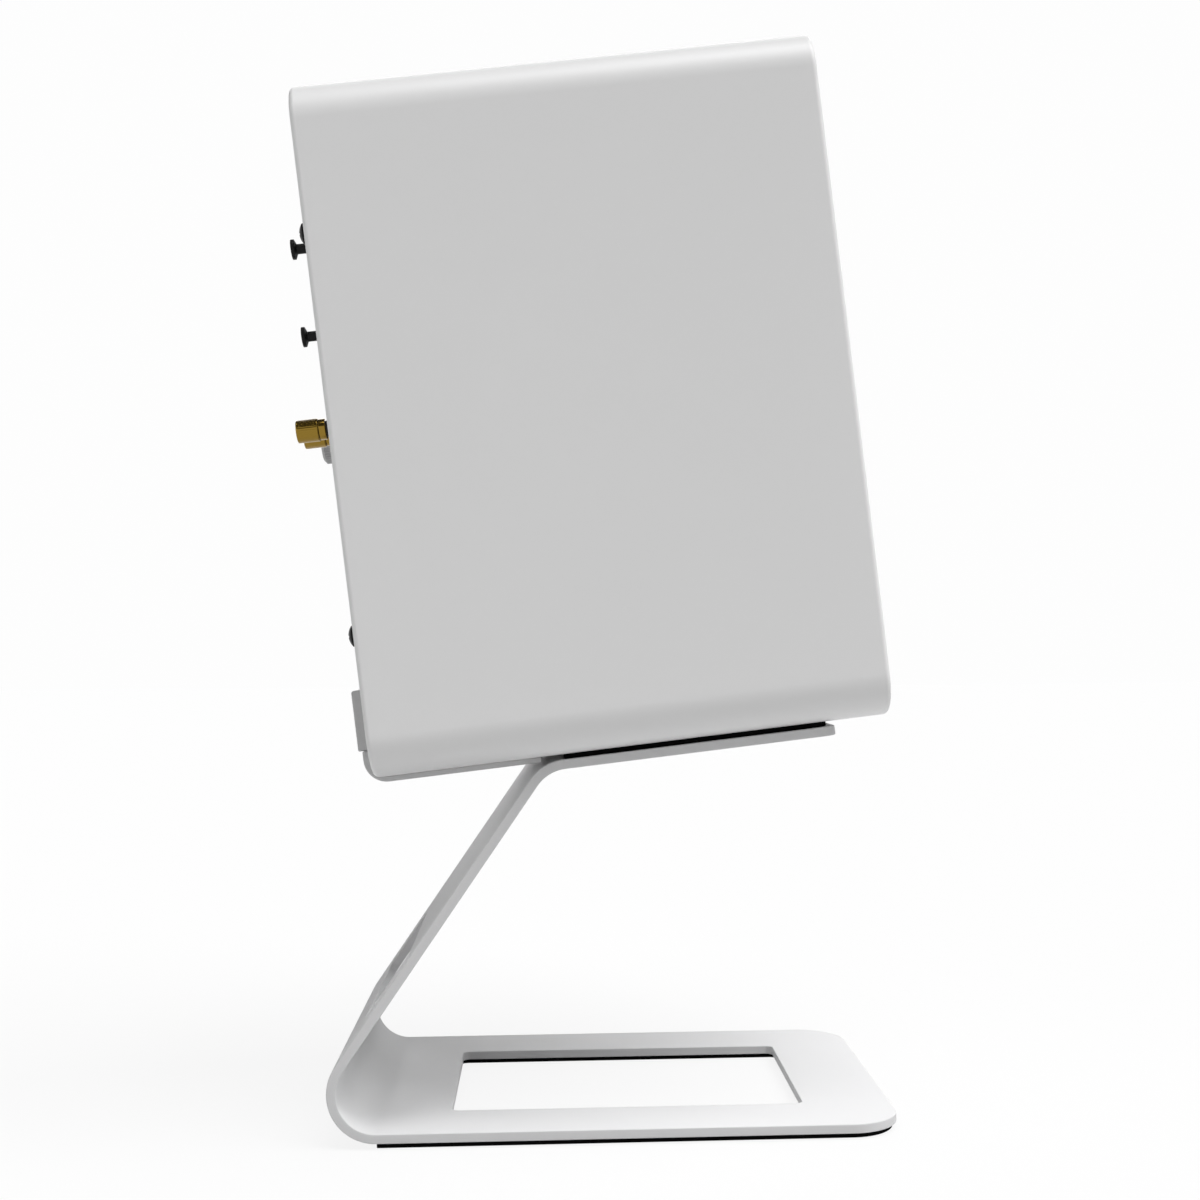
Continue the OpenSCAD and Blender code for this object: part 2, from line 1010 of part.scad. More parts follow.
// Bolt that holds the transformer down, with a large washer and a hexagon nut
module transformer_bolt() {
    bolt_r = 2.5;
    bolt_len = 36;
    washer_r = 20;
    washer_t = 1.5;
    nut_r = 4.5;
    nut_h = 4;
    color("silver")
        in_speaker()
            translate([0, transformer_y, wall]) {
                cylinder(r = bolt_r, h = bolt_len);
                translate([0, 0, core_h])
                    cylinder(r = washer_r, h = washer_t);
                translate([0, 0, core_h + washer_t])
                    cylinder(r = nut_r, h = nut_h, $fn = 6);
            }
}

// Straight wire between two points
module wire(a, b, r) {
    d = b - a;
    len = norm(d);
    translate(a)
        rotate([0, acos(d[2] / len), atan2(d[1], d[0])])
            cylinder(r = r, h = len, $fn = 12);
}

// Lead laid along its corner points, with a round joint at each corner
module lead(points, r) {
    for (i = [0:len(points) - 2])
        wire(points[i], points[i + 1], r);
    for (i = [1:len(points) - 2])
        translate(points[i])
            sphere(r * 1.1, $fn = 12);
}

// Insulated pairs from the board to the two drivers
module driver_leads() {
    start_z = board_z - 20;
    yoke_back = baffle_y - motor_z + face_motor_t;
    basket_y = baffle_y + 36;
    basket_top = woofer_z + cup_r + run_gap;
    lead_r = 1.6;
    color("firebrick")
        in_speaker() {
            lead([[-20, board_in_y, start_z], [-20, 40, start_z], [0, basket_y, start_z],
                [0, basket_y, basket_top]], lead_r);
            lead([[20, board_in_y, start_z], [20, 50, start_z], [10, 20, tweeter_z],
                [10, yoke_back, tweeter_z]], lead_r);
        }
}

// Countersunk screw of a driver flange, top of the head at z 0
module flush_screw(r, head_r, length) {
    head_h = head_r - r;
    translate([0, 0, -head_h])
        cylinder(r1 = r, r2 = head_r, h = head_h);
    translate([0, 0, -length])
        cylinder(r = r, h = length - head_h);
}

// Cast basket: flange, windowed cone and rear cup, as one turned section with six windows
module woofer_basket() {
    window = [30, 26, 12];
    window_r0 = 40;
    window_z = -28;
    screw_play = 0.2;
    skin = 2.5;
    shelf_in = 55.5;
    shelf_low = shelf_z - 2;
    drum_r = 60.5;
    drum_in = drum_r - skin;
    drum_z = -15.5;
    cup_shoulder = [46.5, -29.5];
    seat_r = 44.2;
    pole_hole = 15.5;
    color("dimgray")
        on_driver_axis(woofer_z)
            difference() {
                rotate_extrude()
                    polygon([[rim_in, 0], [flange_r, 0], [flange_r, -flange_t], [drum_r, -flange_t],
                        [drum_r, drum_z], cup_shoulder, [cup_r, cup_shoulder[1] - skin], [cup_r, cup_z],
                        [pole_hole, cup_z], [pole_hole, cup_z + skin], [cup_r - skin, cup_z + skin],
                        [cup_r - skin, spider_z], [seat_r, spider_z], [drum_in, drum_z + 1],
                        [drum_in, shelf_low], [shelf_in, shelf_low], [shelf_in, shelf_z], [rim_in, shelf_z]]);
                for (i = [0:5])
                    rotate(60 * i)
                        translate([window_r0, -window[1] / 2, window_z])
                            cube(window);
                at_flange_screws(woofer_screw_circle)
                    flush_screw(woofer_screw_r + screw_play / 2, woofer_head_r + screw_play, flange_t + past);
            }
}

module woofer_gasket() {
    inset = [0.5, 0.2];
    play = 0.3;
    color("black")
        on_driver_axis(woofer_z)
            difference() {
                ring(flange_r - inset[1], woofer_hole_r + inset[0], -flange_t - gasket_t, -flange_t);
                at_flange_screws(woofer_screw_circle)
                    drill(woofer_screw_r + play, flange_t + gasket_t + past);
            }
}

module woofer_screws() {
    screw_len = 14;
    color("black")
        on_driver_axis(woofer_z)
            at_flange_screws(woofer_screw_circle)
                flush_screw(woofer_screw_r, woofer_head_r, screw_len);
}

// Ring that hides the flange and its screws
module woofer_trim_ring() {
    inner = 56;
    outer = 73;
    high = 1.8;
    low = [0.5, 0.7];
    slope = [2.4, 1.1];
    color("black")
        on_driver_axis(woofer_z)
            rotate_extrude()
                polygon([[inner, 0], [outer, 0], [outer, low[1]], [outer - slope[1], high],
                    [inner + slope[0], high], [inner, low[0]]]);
}

// Rubber half roll between the basket and the cone, with a flat land on either side
module woofer_surround() {
    land_in = 43.6;
    land_out = rim_in - 0.2;
    roll_in = roll_mid_r - roll_r + roll_t / 2;
    roll_out = roll_mid_r + roll_r - roll_t / 2;
    color("black")
        on_driver_axis(woofer_z)
            rotate_extrude()
                translate([0, shelf_z]) {
                    translate([roll_mid_r, 0])
                        half_ring(roll_r, roll_r - roll_t);
                    translate([roll_out, 0])
                        square([land_out - roll_out, roll_t]);
                    translate([land_in, 0])
                        square([roll_in - land_in, roll_t]);
                }
}

// Upper half of a ring, in a profile
module half_ring(outer, inner) {
    intersection() {
        difference() {
            circle(outer);
            circle(inner);
        }
        translate([-2 * outer, 0])
            square([4 * outer, 2 * outer]);
    }
}

// Thin cap cut from a ball: rim radius r, height rise, foot at z 0
module thin_cap(r, rise, skin) {
    ball_r = (r * r + rise * rise) / (2 * rise);
    translate([0, 0, rise - ball_r])
        rotate_extrude()
            intersection() {
                difference() {
                    circle(ball_r);
                    circle(ball_r - skin);
                }
                translate([0, ball_r - rise])
                    square([r, rise]);
            }
}

// Depth of the cone at radius r: a flare that is flatter near the rim
function cone_z(r) = rim_z + (neck_z - rim_z) * pow(1 - (r - coil_r) / (cone_in_r - coil_r), cone_bend);

// Cone between the coil and the surround, with a flat rim
module woofer_cone() {
    steps = 8;
    radii = [for (i = [0:steps]) coil_r + (cone_in_r - coil_r) * i / steps];
    front = [for (r = radii) [r, cone_z(r)]];
    back = [for (i = [steps:-1:0]) front[i] - [0, cone_t]];
    color("dimgray")
        on_driver_axis(woofer_z)
            rotate_extrude()
                polygon(concat(front, [[cone_rim_r, rim_z], [cone_rim_r, rim_z - cone_t]], back));
}

// Domed cap over the cone's neck
module woofer_dust_cap() {
    glue = 0.02;
    skin = 0.7;
    color("black")
        on_driver_axis(woofer_z)
            translate([0, 0, cone_z(cap_r) - glue])
                thin_cap(cap_r, cap_rise, skin);
}

// Former and winding that hang in the magnet's gap
module woofer_coil() {
    former_t = 0.3;
    wire_t = 0.55;
    low_z = -50;
    wire_top = -40.5;
    color("peru")
        on_driver_axis(woofer_z) {
            ring(coil_r, coil_r - former_t, low_z, neck_z);
            ring(coil_r + wire_t, coil_r, low_z, wire_top);
        }
}

// Corrugated disc that centres the coil
module woofer_spider() {
    wave_in = 17;
    wave_out = 40;
    waves = 5;
    steps = 40;
    high = 1.1;
    thick = 0.5;
    rest_z = spider_z + thick / 2;
    mid = [for (i = [0:steps]) let (t = i / steps)
        [wave_in + (wave_out - wave_in) * t, rest_z + high * sin(360 * waves * t)]];
    top = [for (p = mid) p + [0, thick / 2]];
    low = [for (i = [steps:-1:0]) mid[i] - [0, thick / 2]];
    inner_r = coil_r + run_gap;
    inner = [[inner_r, rest_z - thick / 2], [inner_r, rest_z + thick / 2]];
    outer = [[spider_r, rest_z + thick / 2], [spider_r, rest_z - thick / 2]];
    color("khaki")
        on_driver_axis(woofer_z)
            rotate_extrude()
                polygon(concat(inner, top, outer, low));
}

module woofer_top_plate() {
    outer = 39.5;
    coil_gap = 1.05;
    color("silver")
        on_driver_axis(woofer_z)
            ring(outer, coil_r + coil_gap, cup_z - top_plate_t, cup_z);
}

module woofer_magnet() {
    outer = 42.5;
    inner = 21;
    z1 = cup_z - top_plate_t;
    color("black")
        on_driver_axis(woofer_z)
            ring(outer, inner, z1 - magnet_t, z1);
}

// Back plate with the vented pole
module woofer_yoke() {
    plate_r = 40;
    pole_gap = 0.85;
    vent_r = 4;
    z0 = cup_z - top_plate_t - magnet_t - yoke_t;
    color("silver")
        on_driver_axis(woofer_z)
            difference() {
                translate([0, 0, z0]) {
                    cylinder(r = plate_r, h = yoke_t);
                    cylinder(r = coil_r - pole_gap, h = cup_z - z0);
                }
                translate([0, 0, z0 - past])
                    cylinder(r = vent_r, h = cup_z - z0 + 2 * past);
            }
}

// Faceplate shaped as a shallow waveguide: a flare that is steep at the throat and flat at the mouth
module tweeter_faceplate() {
    mouth_r = 30;
    steps = 8;
    edge = 0.5;
    screw_play = 0.2;
    flare = [for (i = [0:steps]) let (a = 90 * i / steps)
        [mouth_r - (mouth_r - throat_r) * cos(a), motor_z * (1 - sin(a))]];
    back = [[face_r - edge, 0], [face_r, -edge], [face_r, -face_t], [motor_r, -face_t], [motor_r, motor_z]];
    color("black")
        on_driver_axis(tweeter_z)
            difference() {
                rotate_extrude()
                    polygon(concat(flare, back));
                at_flange_screws(face_screw_circle)
                    flush_screw(face_screw_r + screw_play / 2, face_head_r + screw_play, face_t + past);
            }
}

module tweeter_screws() {
    screw_len = 12;
    color("black")
        on_driver_axis(tweeter_z)
            at_flange_screws(face_screw_circle)
                flush_screw(face_screw_r, face_head_r, screw_len);
}

// Coated fabric dome
module tweeter_dome() {
    skin = 0.4;
    color("darkslategray")
        on_driver_axis(tweeter_z)
            translate([0, 0, dome_z])
                thin_cap(dome_r, dome_rise, skin);
}

// Small roll round the dome, with a land that lies on the top plate
module tweeter_surround() {
    roll = [1.15, 0.75];
    mid_r = dome_r + 1.2;
    land_in = mid_r + roll[1];
    land_z = [-0.6, 0.3];
    color("black")
        on_driver_axis(tweeter_z)
            rotate_extrude()
                translate([0, dome_z]) {
                    translate([mid_r, 0])
                        half_ring(roll[0], roll[1]);
                    translate([land_in, land_z[0]])
                        square([throat_r - 0.1 - land_in, land_z[1] - land_z[0]]);
                }
}

module tweeter_coil() {
    former_t = 0.2;
    wire_t = 0.35;
    low_z = -12.5;
    wire_top = -8.6;
    color("peru")
        on_driver_axis(tweeter_z) {
            ring(dome_r, dome_r - former_t, low_z, dome_z);
            ring(dome_r + wire_t, dome_r, low_z, wire_top);
        }
}

module tweeter_top_plate() {
    coil_gap = 0.75;
    color("silver")
        on_driver_axis(tweeter_z)
            ring(motor_r, dome_r + coil_gap, motor_z - face_plate_t, motor_z);
}

module tweeter_magnet() {
    inner = 18;
    color("black")
        on_driver_axis(tweeter_z)
            ring(motor_r, inner, motor_z - face_motor_t + face_yoke_t, motor_z - face_plate_t);
}

// Back plate and pole
module tweeter_yoke() {
    pole_gap = 0.6;
    pole_short = 0.6;
    color("silver")
        on_driver_axis(tweeter_z)
            translate([0, 0, motor_z - face_motor_t]) {
                cylinder(r = motor_r, h = face_yoke_t);
                cylinder(r = dome_r - pole_gap, h = face_motor_t - pole_short);
            }
}

stand_frame();
base_pad();
top_pad();
cabinet_sleeve();
front_baffle();
rear_panel();
damping_pad();
corner_guard();
wall_bumper();
amp_plate();
plate_gasket();
plate_screws();
hanger_screws();
post_collars();
post_studs();
clamp_sleeve_left();
clamp_sleeve_right();
post_nut_left();
post_nut_right();
level_pot();
level_shaft();
level_knob();
line_jacks();
mains_inlet();
switch_bezel();
switch_rocker();
amp_board();
board_standoffs();
heat_sink();
capacitors();
transformer();
transformer_bolt();
driver_leads();
woofer_basket();
woofer_gasket();
woofer_screws();
woofer_trim_ring();
woofer_surround();
woofer_cone();
woofer_dust_cap();
woofer_coil();
woofer_spider();
woofer_top_plate();
woofer_magnet();
woofer_yoke();
tweeter_faceplate();
tweeter_screws();
tweeter_dome();
tweeter_surround();
tweeter_coil();
tweeter_top_plate();
tweeter_magnet();
tweeter_yoke();
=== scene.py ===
"""Looks of a white desktop loudspeaker that rests, tilted back, on a bent steel stand."""

import json
from math import cos, pi, radians, sin, sqrt

import bmesh
import bpy
from mathutils import Matrix, Vector


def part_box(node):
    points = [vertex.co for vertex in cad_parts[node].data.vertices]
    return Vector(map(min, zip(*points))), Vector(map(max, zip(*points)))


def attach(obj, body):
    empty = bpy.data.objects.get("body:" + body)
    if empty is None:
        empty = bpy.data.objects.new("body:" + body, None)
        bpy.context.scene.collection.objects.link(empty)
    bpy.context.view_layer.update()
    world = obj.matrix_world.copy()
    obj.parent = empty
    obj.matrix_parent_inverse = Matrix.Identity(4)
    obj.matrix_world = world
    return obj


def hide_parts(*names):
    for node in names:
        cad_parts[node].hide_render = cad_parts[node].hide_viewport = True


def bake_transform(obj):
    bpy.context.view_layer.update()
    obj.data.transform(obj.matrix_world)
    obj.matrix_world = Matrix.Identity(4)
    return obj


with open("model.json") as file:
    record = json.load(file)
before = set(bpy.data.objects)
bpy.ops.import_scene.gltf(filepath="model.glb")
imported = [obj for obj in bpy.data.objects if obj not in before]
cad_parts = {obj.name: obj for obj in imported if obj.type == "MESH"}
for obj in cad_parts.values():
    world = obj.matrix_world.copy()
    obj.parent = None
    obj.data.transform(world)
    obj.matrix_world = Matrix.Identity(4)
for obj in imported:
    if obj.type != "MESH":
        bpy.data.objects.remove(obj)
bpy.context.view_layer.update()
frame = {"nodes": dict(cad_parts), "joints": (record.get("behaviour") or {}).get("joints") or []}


# Stand
# One sheet of mild steel, laser cut with a window and a cable slot, bent twice in a press brake and
# powder coated white. It only stands on its base; its top plate carries the speaker, tilted back.

joint = {j["name"]: j for j in frame["joints"]}
speaker_up = Vector(joint["speaker_lift"]["axis"])
speaker_front = Vector(joint["cone_stroke"]["axis"])
stand_low, stand_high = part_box("stand_frame")
stand_width = stand_high.x - stand_low.x
steel = 0.0036
bend_radius = 0.015
bend_outer = bend_radius + steel
arm_length = 0.129
plate_length = 0.104
arm_slope = 55.4
arm_turn = radians(180 - arm_slope)
plate_turn = pi - speaker_front.angle(Vector((0, -1, 0)))
base_length = stand_high.y - bend_outer - stand_low.y
low_bend = Vector((0, stand_high.y - bend_outer, stand_low.z + bend_outer))
high_bend = low_bend + arm_length * Vector((0, cos(arm_turn), sin(arm_turn)))
neutral_radius = bend_radius + steel / 2
low_bend_start = base_length
low_bend_end = low_bend_start + neutral_radius * arm_turn
high_bend_start = low_bend_end + arm_length
high_bend_end = high_bend_start + neutral_radius * (plate_turn - arm_turn)
blank_length = high_bend_end + plate_length
base_corner = 0.020
plate_corner = 0.005
window_start, window_end, window_half = 0.035, 0.174, 0.0453
slot_start, slot_end, slot_half = low_bend_end + 0.015, low_bend_end + 0.045, 0.050
cut_corner = 0.003
steel_edge = 0.0004


def grain_group():
    """Colour broken up by wide soft patches and fine specks, and the specks as a mask and a height."""
    group = bpy.data.node_groups.new("fine_grain", "ShaderNodeTree")
    for label, kind in (("Color", "Color"), ("Grain Scale", "Float"), ("Contrast", "Float")):
        group.interface.new_socket(label, in_out="INPUT", socket_type=f"NodeSocket{kind}")
    for label, kind in (("Color", "Color"), ("Grain", "Float")):
        group.interface.new_socket(label, in_out="OUTPUT", socket_type=f"NodeSocket{kind}")
    node, link = group.nodes.new, group.links.new
    source, result = node("NodeGroupInput"), node("NodeGroupOutput")
    place = node("ShaderNodeTexCoord")
    patches = node("ShaderNodeTexNoise")
    patches.inputs["Scale"].default_value = 28
    specks = node("ShaderNodeTexNoise")
    specks.inputs["Detail"].default_value = 4
    blend = node("ShaderNodeMath")
    blend.operation = "ADD"
    centred = node("ShaderNodeMath")
    centred.operation = "SUBTRACT"
    centred.inputs[1].default_value = 1
    value = node("ShaderNodeMath")
    value.operation = "MULTIPLY_ADD"
    value.inputs[2].default_value = 1
    tint = node("ShaderNodeHueSaturation")
    link(place.outputs["Object"], patches.inputs["Vector"])
    link(place.outputs["Object"], specks.inputs["Vector"])
    link(source.outputs["Grain Scale"], specks.inputs["Scale"])
    link(patches.outputs["Fac"], blend.inputs[0])
    link(specks.outputs["Fac"], blend.inputs[1])
    link(blend.outputs[0], centred.inputs[0])
    link(centred.outputs[0], value.inputs[0])
    link(source.outputs["Contrast"], value.inputs[1])
    link(value.outputs[0], tint.inputs["Value"])
    link(source.outputs["Color"], tint.inputs["Color"])
    link(tint.outputs["Color"], result.inputs["Color"])
    link(specks.outputs["Fac"], result.inputs["Grain"])
    return group


fine_grain = grain_group()


def grained(name, color, roughness, scale, contrast, relief, spread=0.06, metallic=0.0, specular=0.5):
    """A material whose colour, roughness and relief follow a fine grain, scale being grains per metre."""
    material = bpy.data.materials.new(name)
    material.use_nodes = True
    tree = material.node_tree
    node, link = tree.nodes.new, tree.links.new
    shader = tree.nodes["Principled BSDF"]
    shader.inputs["Metallic"].default_value = metallic
    shader.inputs["Specular IOR Level"].default_value = specular
    grain = node("ShaderNodeGroup")
    grain.node_tree = fine_grain
    grain.inputs["Color"].default_value = (*color, 1)
    grain.inputs["Grain Scale"].default_value = scale
    grain.inputs["Contrast"].default_value = contrast
    polish = node("ShaderNodeMapRange")
    polish.inputs["From Min"].default_value = 0.3
    polish.inputs["From Max"].default_value = 0.7
    polish.inputs["To Min"].default_value = roughness - spread
    polish.inputs["To Max"].default_value = roughness + spread
    bump = node("ShaderNodeBump")
    bump.inputs["Strength"].default_value = relief
    bump.inputs["Distance"].default_value = 0.2 / scale
    link(grain.outputs["Color"], shader.inputs["Base Color"])
    link(grain.outputs["Grain"], polish.inputs["Value"])
    link(polish.outputs["Result"], shader.inputs["Roughness"])
    link(grain.outputs["Grain"], bump.inputs["Height"])
    link(bump.outputs["Normal"], shader.inputs["Normal"])
    return material


def round_edges(bm, edges, radius, segments):
    """Gives some edges a true round."""
    bmesh.ops.bevel(bm, geom=edges, offset=radius, offset_type="OFFSET", segments=segments, profile=0.5,
                    affect="EDGES", clamp_overlap=True, material=-1)


def soften(bm, width, segments=3, angle=35):
    """Rounds every edge that is sharper than the angle."""
    sharp = [e for e in bm.edges if len(e.link_faces) == 2 and e.calc_face_angle() > radians(angle)]
    round_edges(bm, sharp, width, segments)


def box_mesh(low, high):
    """A box between two corners."""
    bm = bmesh.new()
    size = Vector(high) - Vector(low)
    middle = (Vector(high) + Vector(low)) / 2
    bmesh.ops.create_cube(bm, size=1, matrix=Matrix.Translation(middle) @ Matrix.Diagonal((*size, 1)))
    return bm


def upright_edges(bm, axis, at=None):
    """Edges that run along an axis; with a test, only those whose middle passes it."""
    found = []
    for edge in bm.edges:
        run = (edge.verts[1].co - edge.verts[0].co).normalized()
        middle = (edge.verts[0].co + edge.verts[1].co) / 2
        if abs(run[axis]) > 0.999 and (at is None or at(middle)):
            found.append(edge)
    return found


def loose_object(name, bm):
    """An object for a finished mesh, at the origin."""
    mesh = bpy.data.meshes.new(name)
    bm.to_mesh(mesh)
    bm.free()
    thing = bpy.data.objects.new(name, mesh)
    bpy.context.scene.collection.objects.link(thing)
    return thing


def cut_out(bm, cutters):
    """The mesh with the cutters' shapes taken out of it."""
    blank = loose_object("blank", bm)
    tools = [loose_object("cutter", cutter) for cutter in cutters]
    for tool in tools:
        step = blank.modifiers.new("cut", "BOOLEAN")
        step.object = tool
        step.solver = "EXACT"
    result = bmesh.new()
    result.from_object(blank, bpy.context.evaluated_depsgraph_get())
    for thing in (blank, *tools):
        bpy.data.objects.remove(thing)
    return result


def finished(name, bm, material, body, slot, *nodes, crease=40):
    """A piece of the object, shaded smooth with even flats: it rides on its body and stands for CAD nodes."""
    bmesh.ops.remove_doubles(bm, verts=bm.verts, dist=2e-6)
    bmesh.ops.recalc_face_normals(bm, faces=bm.faces)
    piece = loose_object(name, bm)
    piece.data.materials.append(material)
    piece.data.shade_smooth()
    piece.data.set_sharp_from_angle(angle=radians(crease))
    flats = piece.modifiers.new("even_flats", "WEIGHTED_NORMAL")
    flats.keep_sharp = True
    if body:
        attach(piece, body)
    if nodes:
        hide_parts(*nodes)
    return piece


def fold(point):
    """Where a point of the flat blank (across, along, up from its lower face) comes to lie after bending."""
    across, along, up = point
    radius = bend_outer - up
    if along < low_bend_start:
        return Vector((across, low_bend.y + along - low_bend_start, low_bend.z - radius))
    turn = min((along - low_bend_start) / neutral_radius, arm_turn)
    centre, straight = low_bend, max(0, along - low_bend_end)
    if along > high_bend_start:
        turn = min(arm_turn + (along - high_bend_start) / neutral_radius, plate_turn)
        centre, straight = high_bend, max(0, along - high_bend_end)
    return centre + Vector((across, radius * sin(turn) + straight * cos(turn),
                            straight * sin(turn) - radius * cos(turn)))


blank = box_mesh((-stand_width / 2, 0, 0), (stand_width / 2, blank_length, steel))
round_edges(blank, upright_edges(blank, 2, lambda p: p.y < base_corner), base_corner, 14)
round_edges(blank, upright_edges(blank, 2, lambda p: p.y > blank_length - plate_corner), plate_corner, 8)
openings = []
for start, end, half in ((window_start, window_end, window_half), (slot_start, slot_end, slot_half)):
    opening = box_mesh((-half, start, -steel), (half, end, 2 * steel))
    round_edges(opening, upright_edges(opening, 2), cut_corner, 6)
    openings.append(opening)
sheet = cut_out(blank, openings)
soften(sheet, steel_edge)
for start, end, steps in ((low_bend_start, low_bend_end, 30), (high_bend_start, high_bend_end, 14)):
    for step in range(steps + 1):
        line = Vector((0, start + (end - start) * step / steps, 0))
        everything = [*sheet.verts, *sheet.edges, *sheet.faces]
        bmesh.ops.bisect_plane(sheet, geom=everything, plane_co=line, plane_no=(0, 1, 0), dist=1e-6)
for vert in sheet.verts:
    vert.co = fold(vert.co)
powder_coat = grained("white_powder_coat", (0.71, 0.71, 0.715), 0.55, 1500, 0.03, 0.10, specular=0.1)
finished("bent_stand", sheet, powder_coat, "stand", "white_powder_coat", "stand_frame")


# Pads
# Black rubber sheet, die cut and glued to the steel: one keeps the base from sliding on the table, the
# other lies between the top plate and the cabinet.

pad_rubber = grained("pad_rubber", (0.003, 0.003, 0.003), 0.9, 2200, 0.25, 0.3, specular=0.03)


def cad_copy(node):
    """A node's mesh, merged into whole faces, so that its edges can be worked on."""
    bm = bmesh.new()
    bm.from_mesh(frame["nodes"][node].data)
    bmesh.ops.remove_doubles(bm, verts=bm.verts, dist=1e-6)
    bmesh.ops.dissolve_limit(bm, angle_limit=radians(0.5), verts=bm.verts, edges=bm.edges)
    return bm


def softened(name, node, material, body, slot, width, segments=3, angle=35):
    """A piece with the node's own form and broken edges."""
    bm = cad_copy(node)
    soften(bm, width, segments, angle)
    return finished(name, bm, material, body, slot, node)


softened("foot_pad", "base_pad", pad_rubber, "stand", "pad_rubber", 0.0004)
softened("rest_pad", "top_pad", pad_rubber, "stand", "pad_rubber", 0.0004)


# Cabinet sleeve
# Fibre board, wrapped round in one piece with large rounds on its four long edges, filled, sanded and
# sprayed in matte white lacquer. Baffle and rear panel are glued into its ends.

cabinet_low, cabinet_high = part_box("cabinet_sleeve")
cabinet_width, cabinet_height, cabinet_depth = 0.175, 0.260, 0.196
wall = 0.009
long_round = 0.016
rim_round = 0.0020
lip_round = 0.0006
speaker = Matrix.Identity(4)
speaker.col[1].xyz = -speaker_front
speaker.col[2].xyz = speaker_up
speaker.translation = (cabinet_low + cabinet_high) / 2 - speaker_up * cabinet_height / 2


def near_plane(edge, axis, value):
    """Whether both ends of an edge lie on a plane."""
    return all(abs(v.co[axis] - value) < 1e-5 for v in edge.verts)


half_width, half_depth = cabinet_width / 2, cabinet_depth / 2
sleeve = box_mesh((-half_width, -half_depth, 0), (half_width, half_depth, cabinet_height))
round_edges(sleeve, upright_edges(sleeve, 1), long_round, 20)
ends = [f for f in sleeve.faces if abs(f.normal.y) > 0.99]
bmesh.ops.inset_individual(sleeve, faces=ends, thickness=wall, use_even_offset=True)
bmesh.ops.bridge_loops(sleeve, edges=[e for f in ends for e in f.edges])
bmesh.ops.delete(sleeve, geom=ends, context="FACES_ONLY")
bmesh.ops.recalc_face_normals(sleeve, faces=sleeve.faces)
outer_rims = []
for edge in sleeve.edges:
    at_an_end = near_plane(edge, 1, -half_depth) or near_plane(edge, 1, half_depth)
    if at_an_end and edge.calc_face_angle() > 1:
        middle = (edge.verts[0].co + edge.verts[1].co) / 2
        between = abs(middle.x) < half_width - wall / 2
        if not (between and wall / 2 < middle.z < cabinet_height - wall / 2):
            outer_rims.append(edge)
round_edges(sleeve, outer_rims, rim_round, 6)
soften(sleeve, lip_round, 2, angle=60)
sleeve.transform(speaker)
lacquer = grained("white_lacquer", (0.80, 0.80, 0.80), 0.42, 2600, 0.012, 0.03, specular=0.6)
finished("sleeve", sleeve, lacquer, "speaker", "white_lacquered_board", "cabinet_sleeve")


# Boards that close the cabinet
# Front baffle and rear panel are cut from fibre board, glued into the sleeve a little below its edges and
# sprayed with it. A block of open foam under the roof damps the air inside.

panel_recess = 0.0006
softened("baffle", "front_baffle", lacquer, "speaker", "white_lacquered_board", 0.0004)
softened("back_board", "rear_panel", lacquer, "speaker", "white_lacquered_board", 0.0004)
open_foam = grained("open_foam", (0.05, 0.05, 0.055), 0.95, 900, 0.6, 0.8, specular=0.1)
softened("damping_foam", "damping_pad", open_foam, "speaker", "foam", 0.004, 5)


# Rear mouldings
# Two pieces of fine-grained grey plastic screwed on from inside: a guard that wraps the lower rear edge,
# and a thicker bar above it that keeps the back off a wall.

grey_plastic = grained("grey_plastic", (0.55, 0.55, 0.552), 0.5, 1800, 0.05, 0.12)
softened("edge_guard", "corner_guard", grey_plastic, "speaker", "grey_plastic", 0.0005)
softened("bar", "wall_bumper", grey_plastic, "speaker", "grey_plastic", 0.0005)


# Woofer
# A cast basket let into the baffle, with a ferrite motor behind it and a woven cone hung from a half roll
# of butyl rubber. A moulded ring hides flange and screws. Cone, cap and coil move together.

woofer_height = 0.085
shelf = -0.0015
trim_inner, trim_outer, trim_height = 0.056, 0.073, 0.0018
trim_lip, trim_slope, trim_wall, trim_shoulder = 0.0005, 0.0024, 0.0007, 0.0011
roll_middle, roll_radius, roll_skin = 0.0504, 0.0046, 0.0009
roll_inner, roll_outer = roll_middle - roll_radius, roll_middle + roll_radius
flat_inner, flat_outer = 0.0436, 0.0598
cone_rim, cone_inner, coil_radius = 0.0465, 0.0435, 0.01305
rim_depth, neck_depth, cone_skin = -0.00155, -0.0202, 0.0009
cap_radius, cap_rise, cap_skin = 0.018, 0.006, 0.0007


def driver(height):
    """Place of a driver: heights run out of the baffle, from its front face."""
    return (speaker @ Matrix.Translation((0, -cabinet_depth / 2 + panel_recess, height))
            @ Matrix.Rotation(pi / 2, 4, "X"))


def turned(profile, steps=96, around=2 * pi, start=0.0, closed=True):
    """A profile of (radius, height) points swept round the height axis."""
    bm = bmesh.new()
    points = [bm.verts.new((r * cos(start), r * sin(start), z)) for r, z in profile]
    lines = [bm.edges.new(pair) for pair in zip(points, points[1:])]
    if closed:
        lines.append(bm.edges.new((points[-1], points[0])))
    bmesh.ops.spin(bm, geom=points + lines, cent=(0, 0, 0), axis=(0, 0, 1), angle=around, steps=steps,
                   use_merge=around == 2 * pi)
    bmesh.ops.remove_doubles(bm, verts=bm.verts, dist=1e-6)
    bmesh.ops.recalc_face_normals(bm, faces=bm.faces)
    return bm


def placed(bm, place):
    """The mesh moved to its place on the object."""
    bm.transform(place)
    return bm


def arc(centre, radius, first, last, count):
    """Points of an arc in a profile, angles in degrees."""
    turns = [radians(first + (last - first) * i / count) for i in range(count + 1)]
    return [(centre[0] + radius * cos(t), centre[1] + radius * sin(t)) for t in turns]


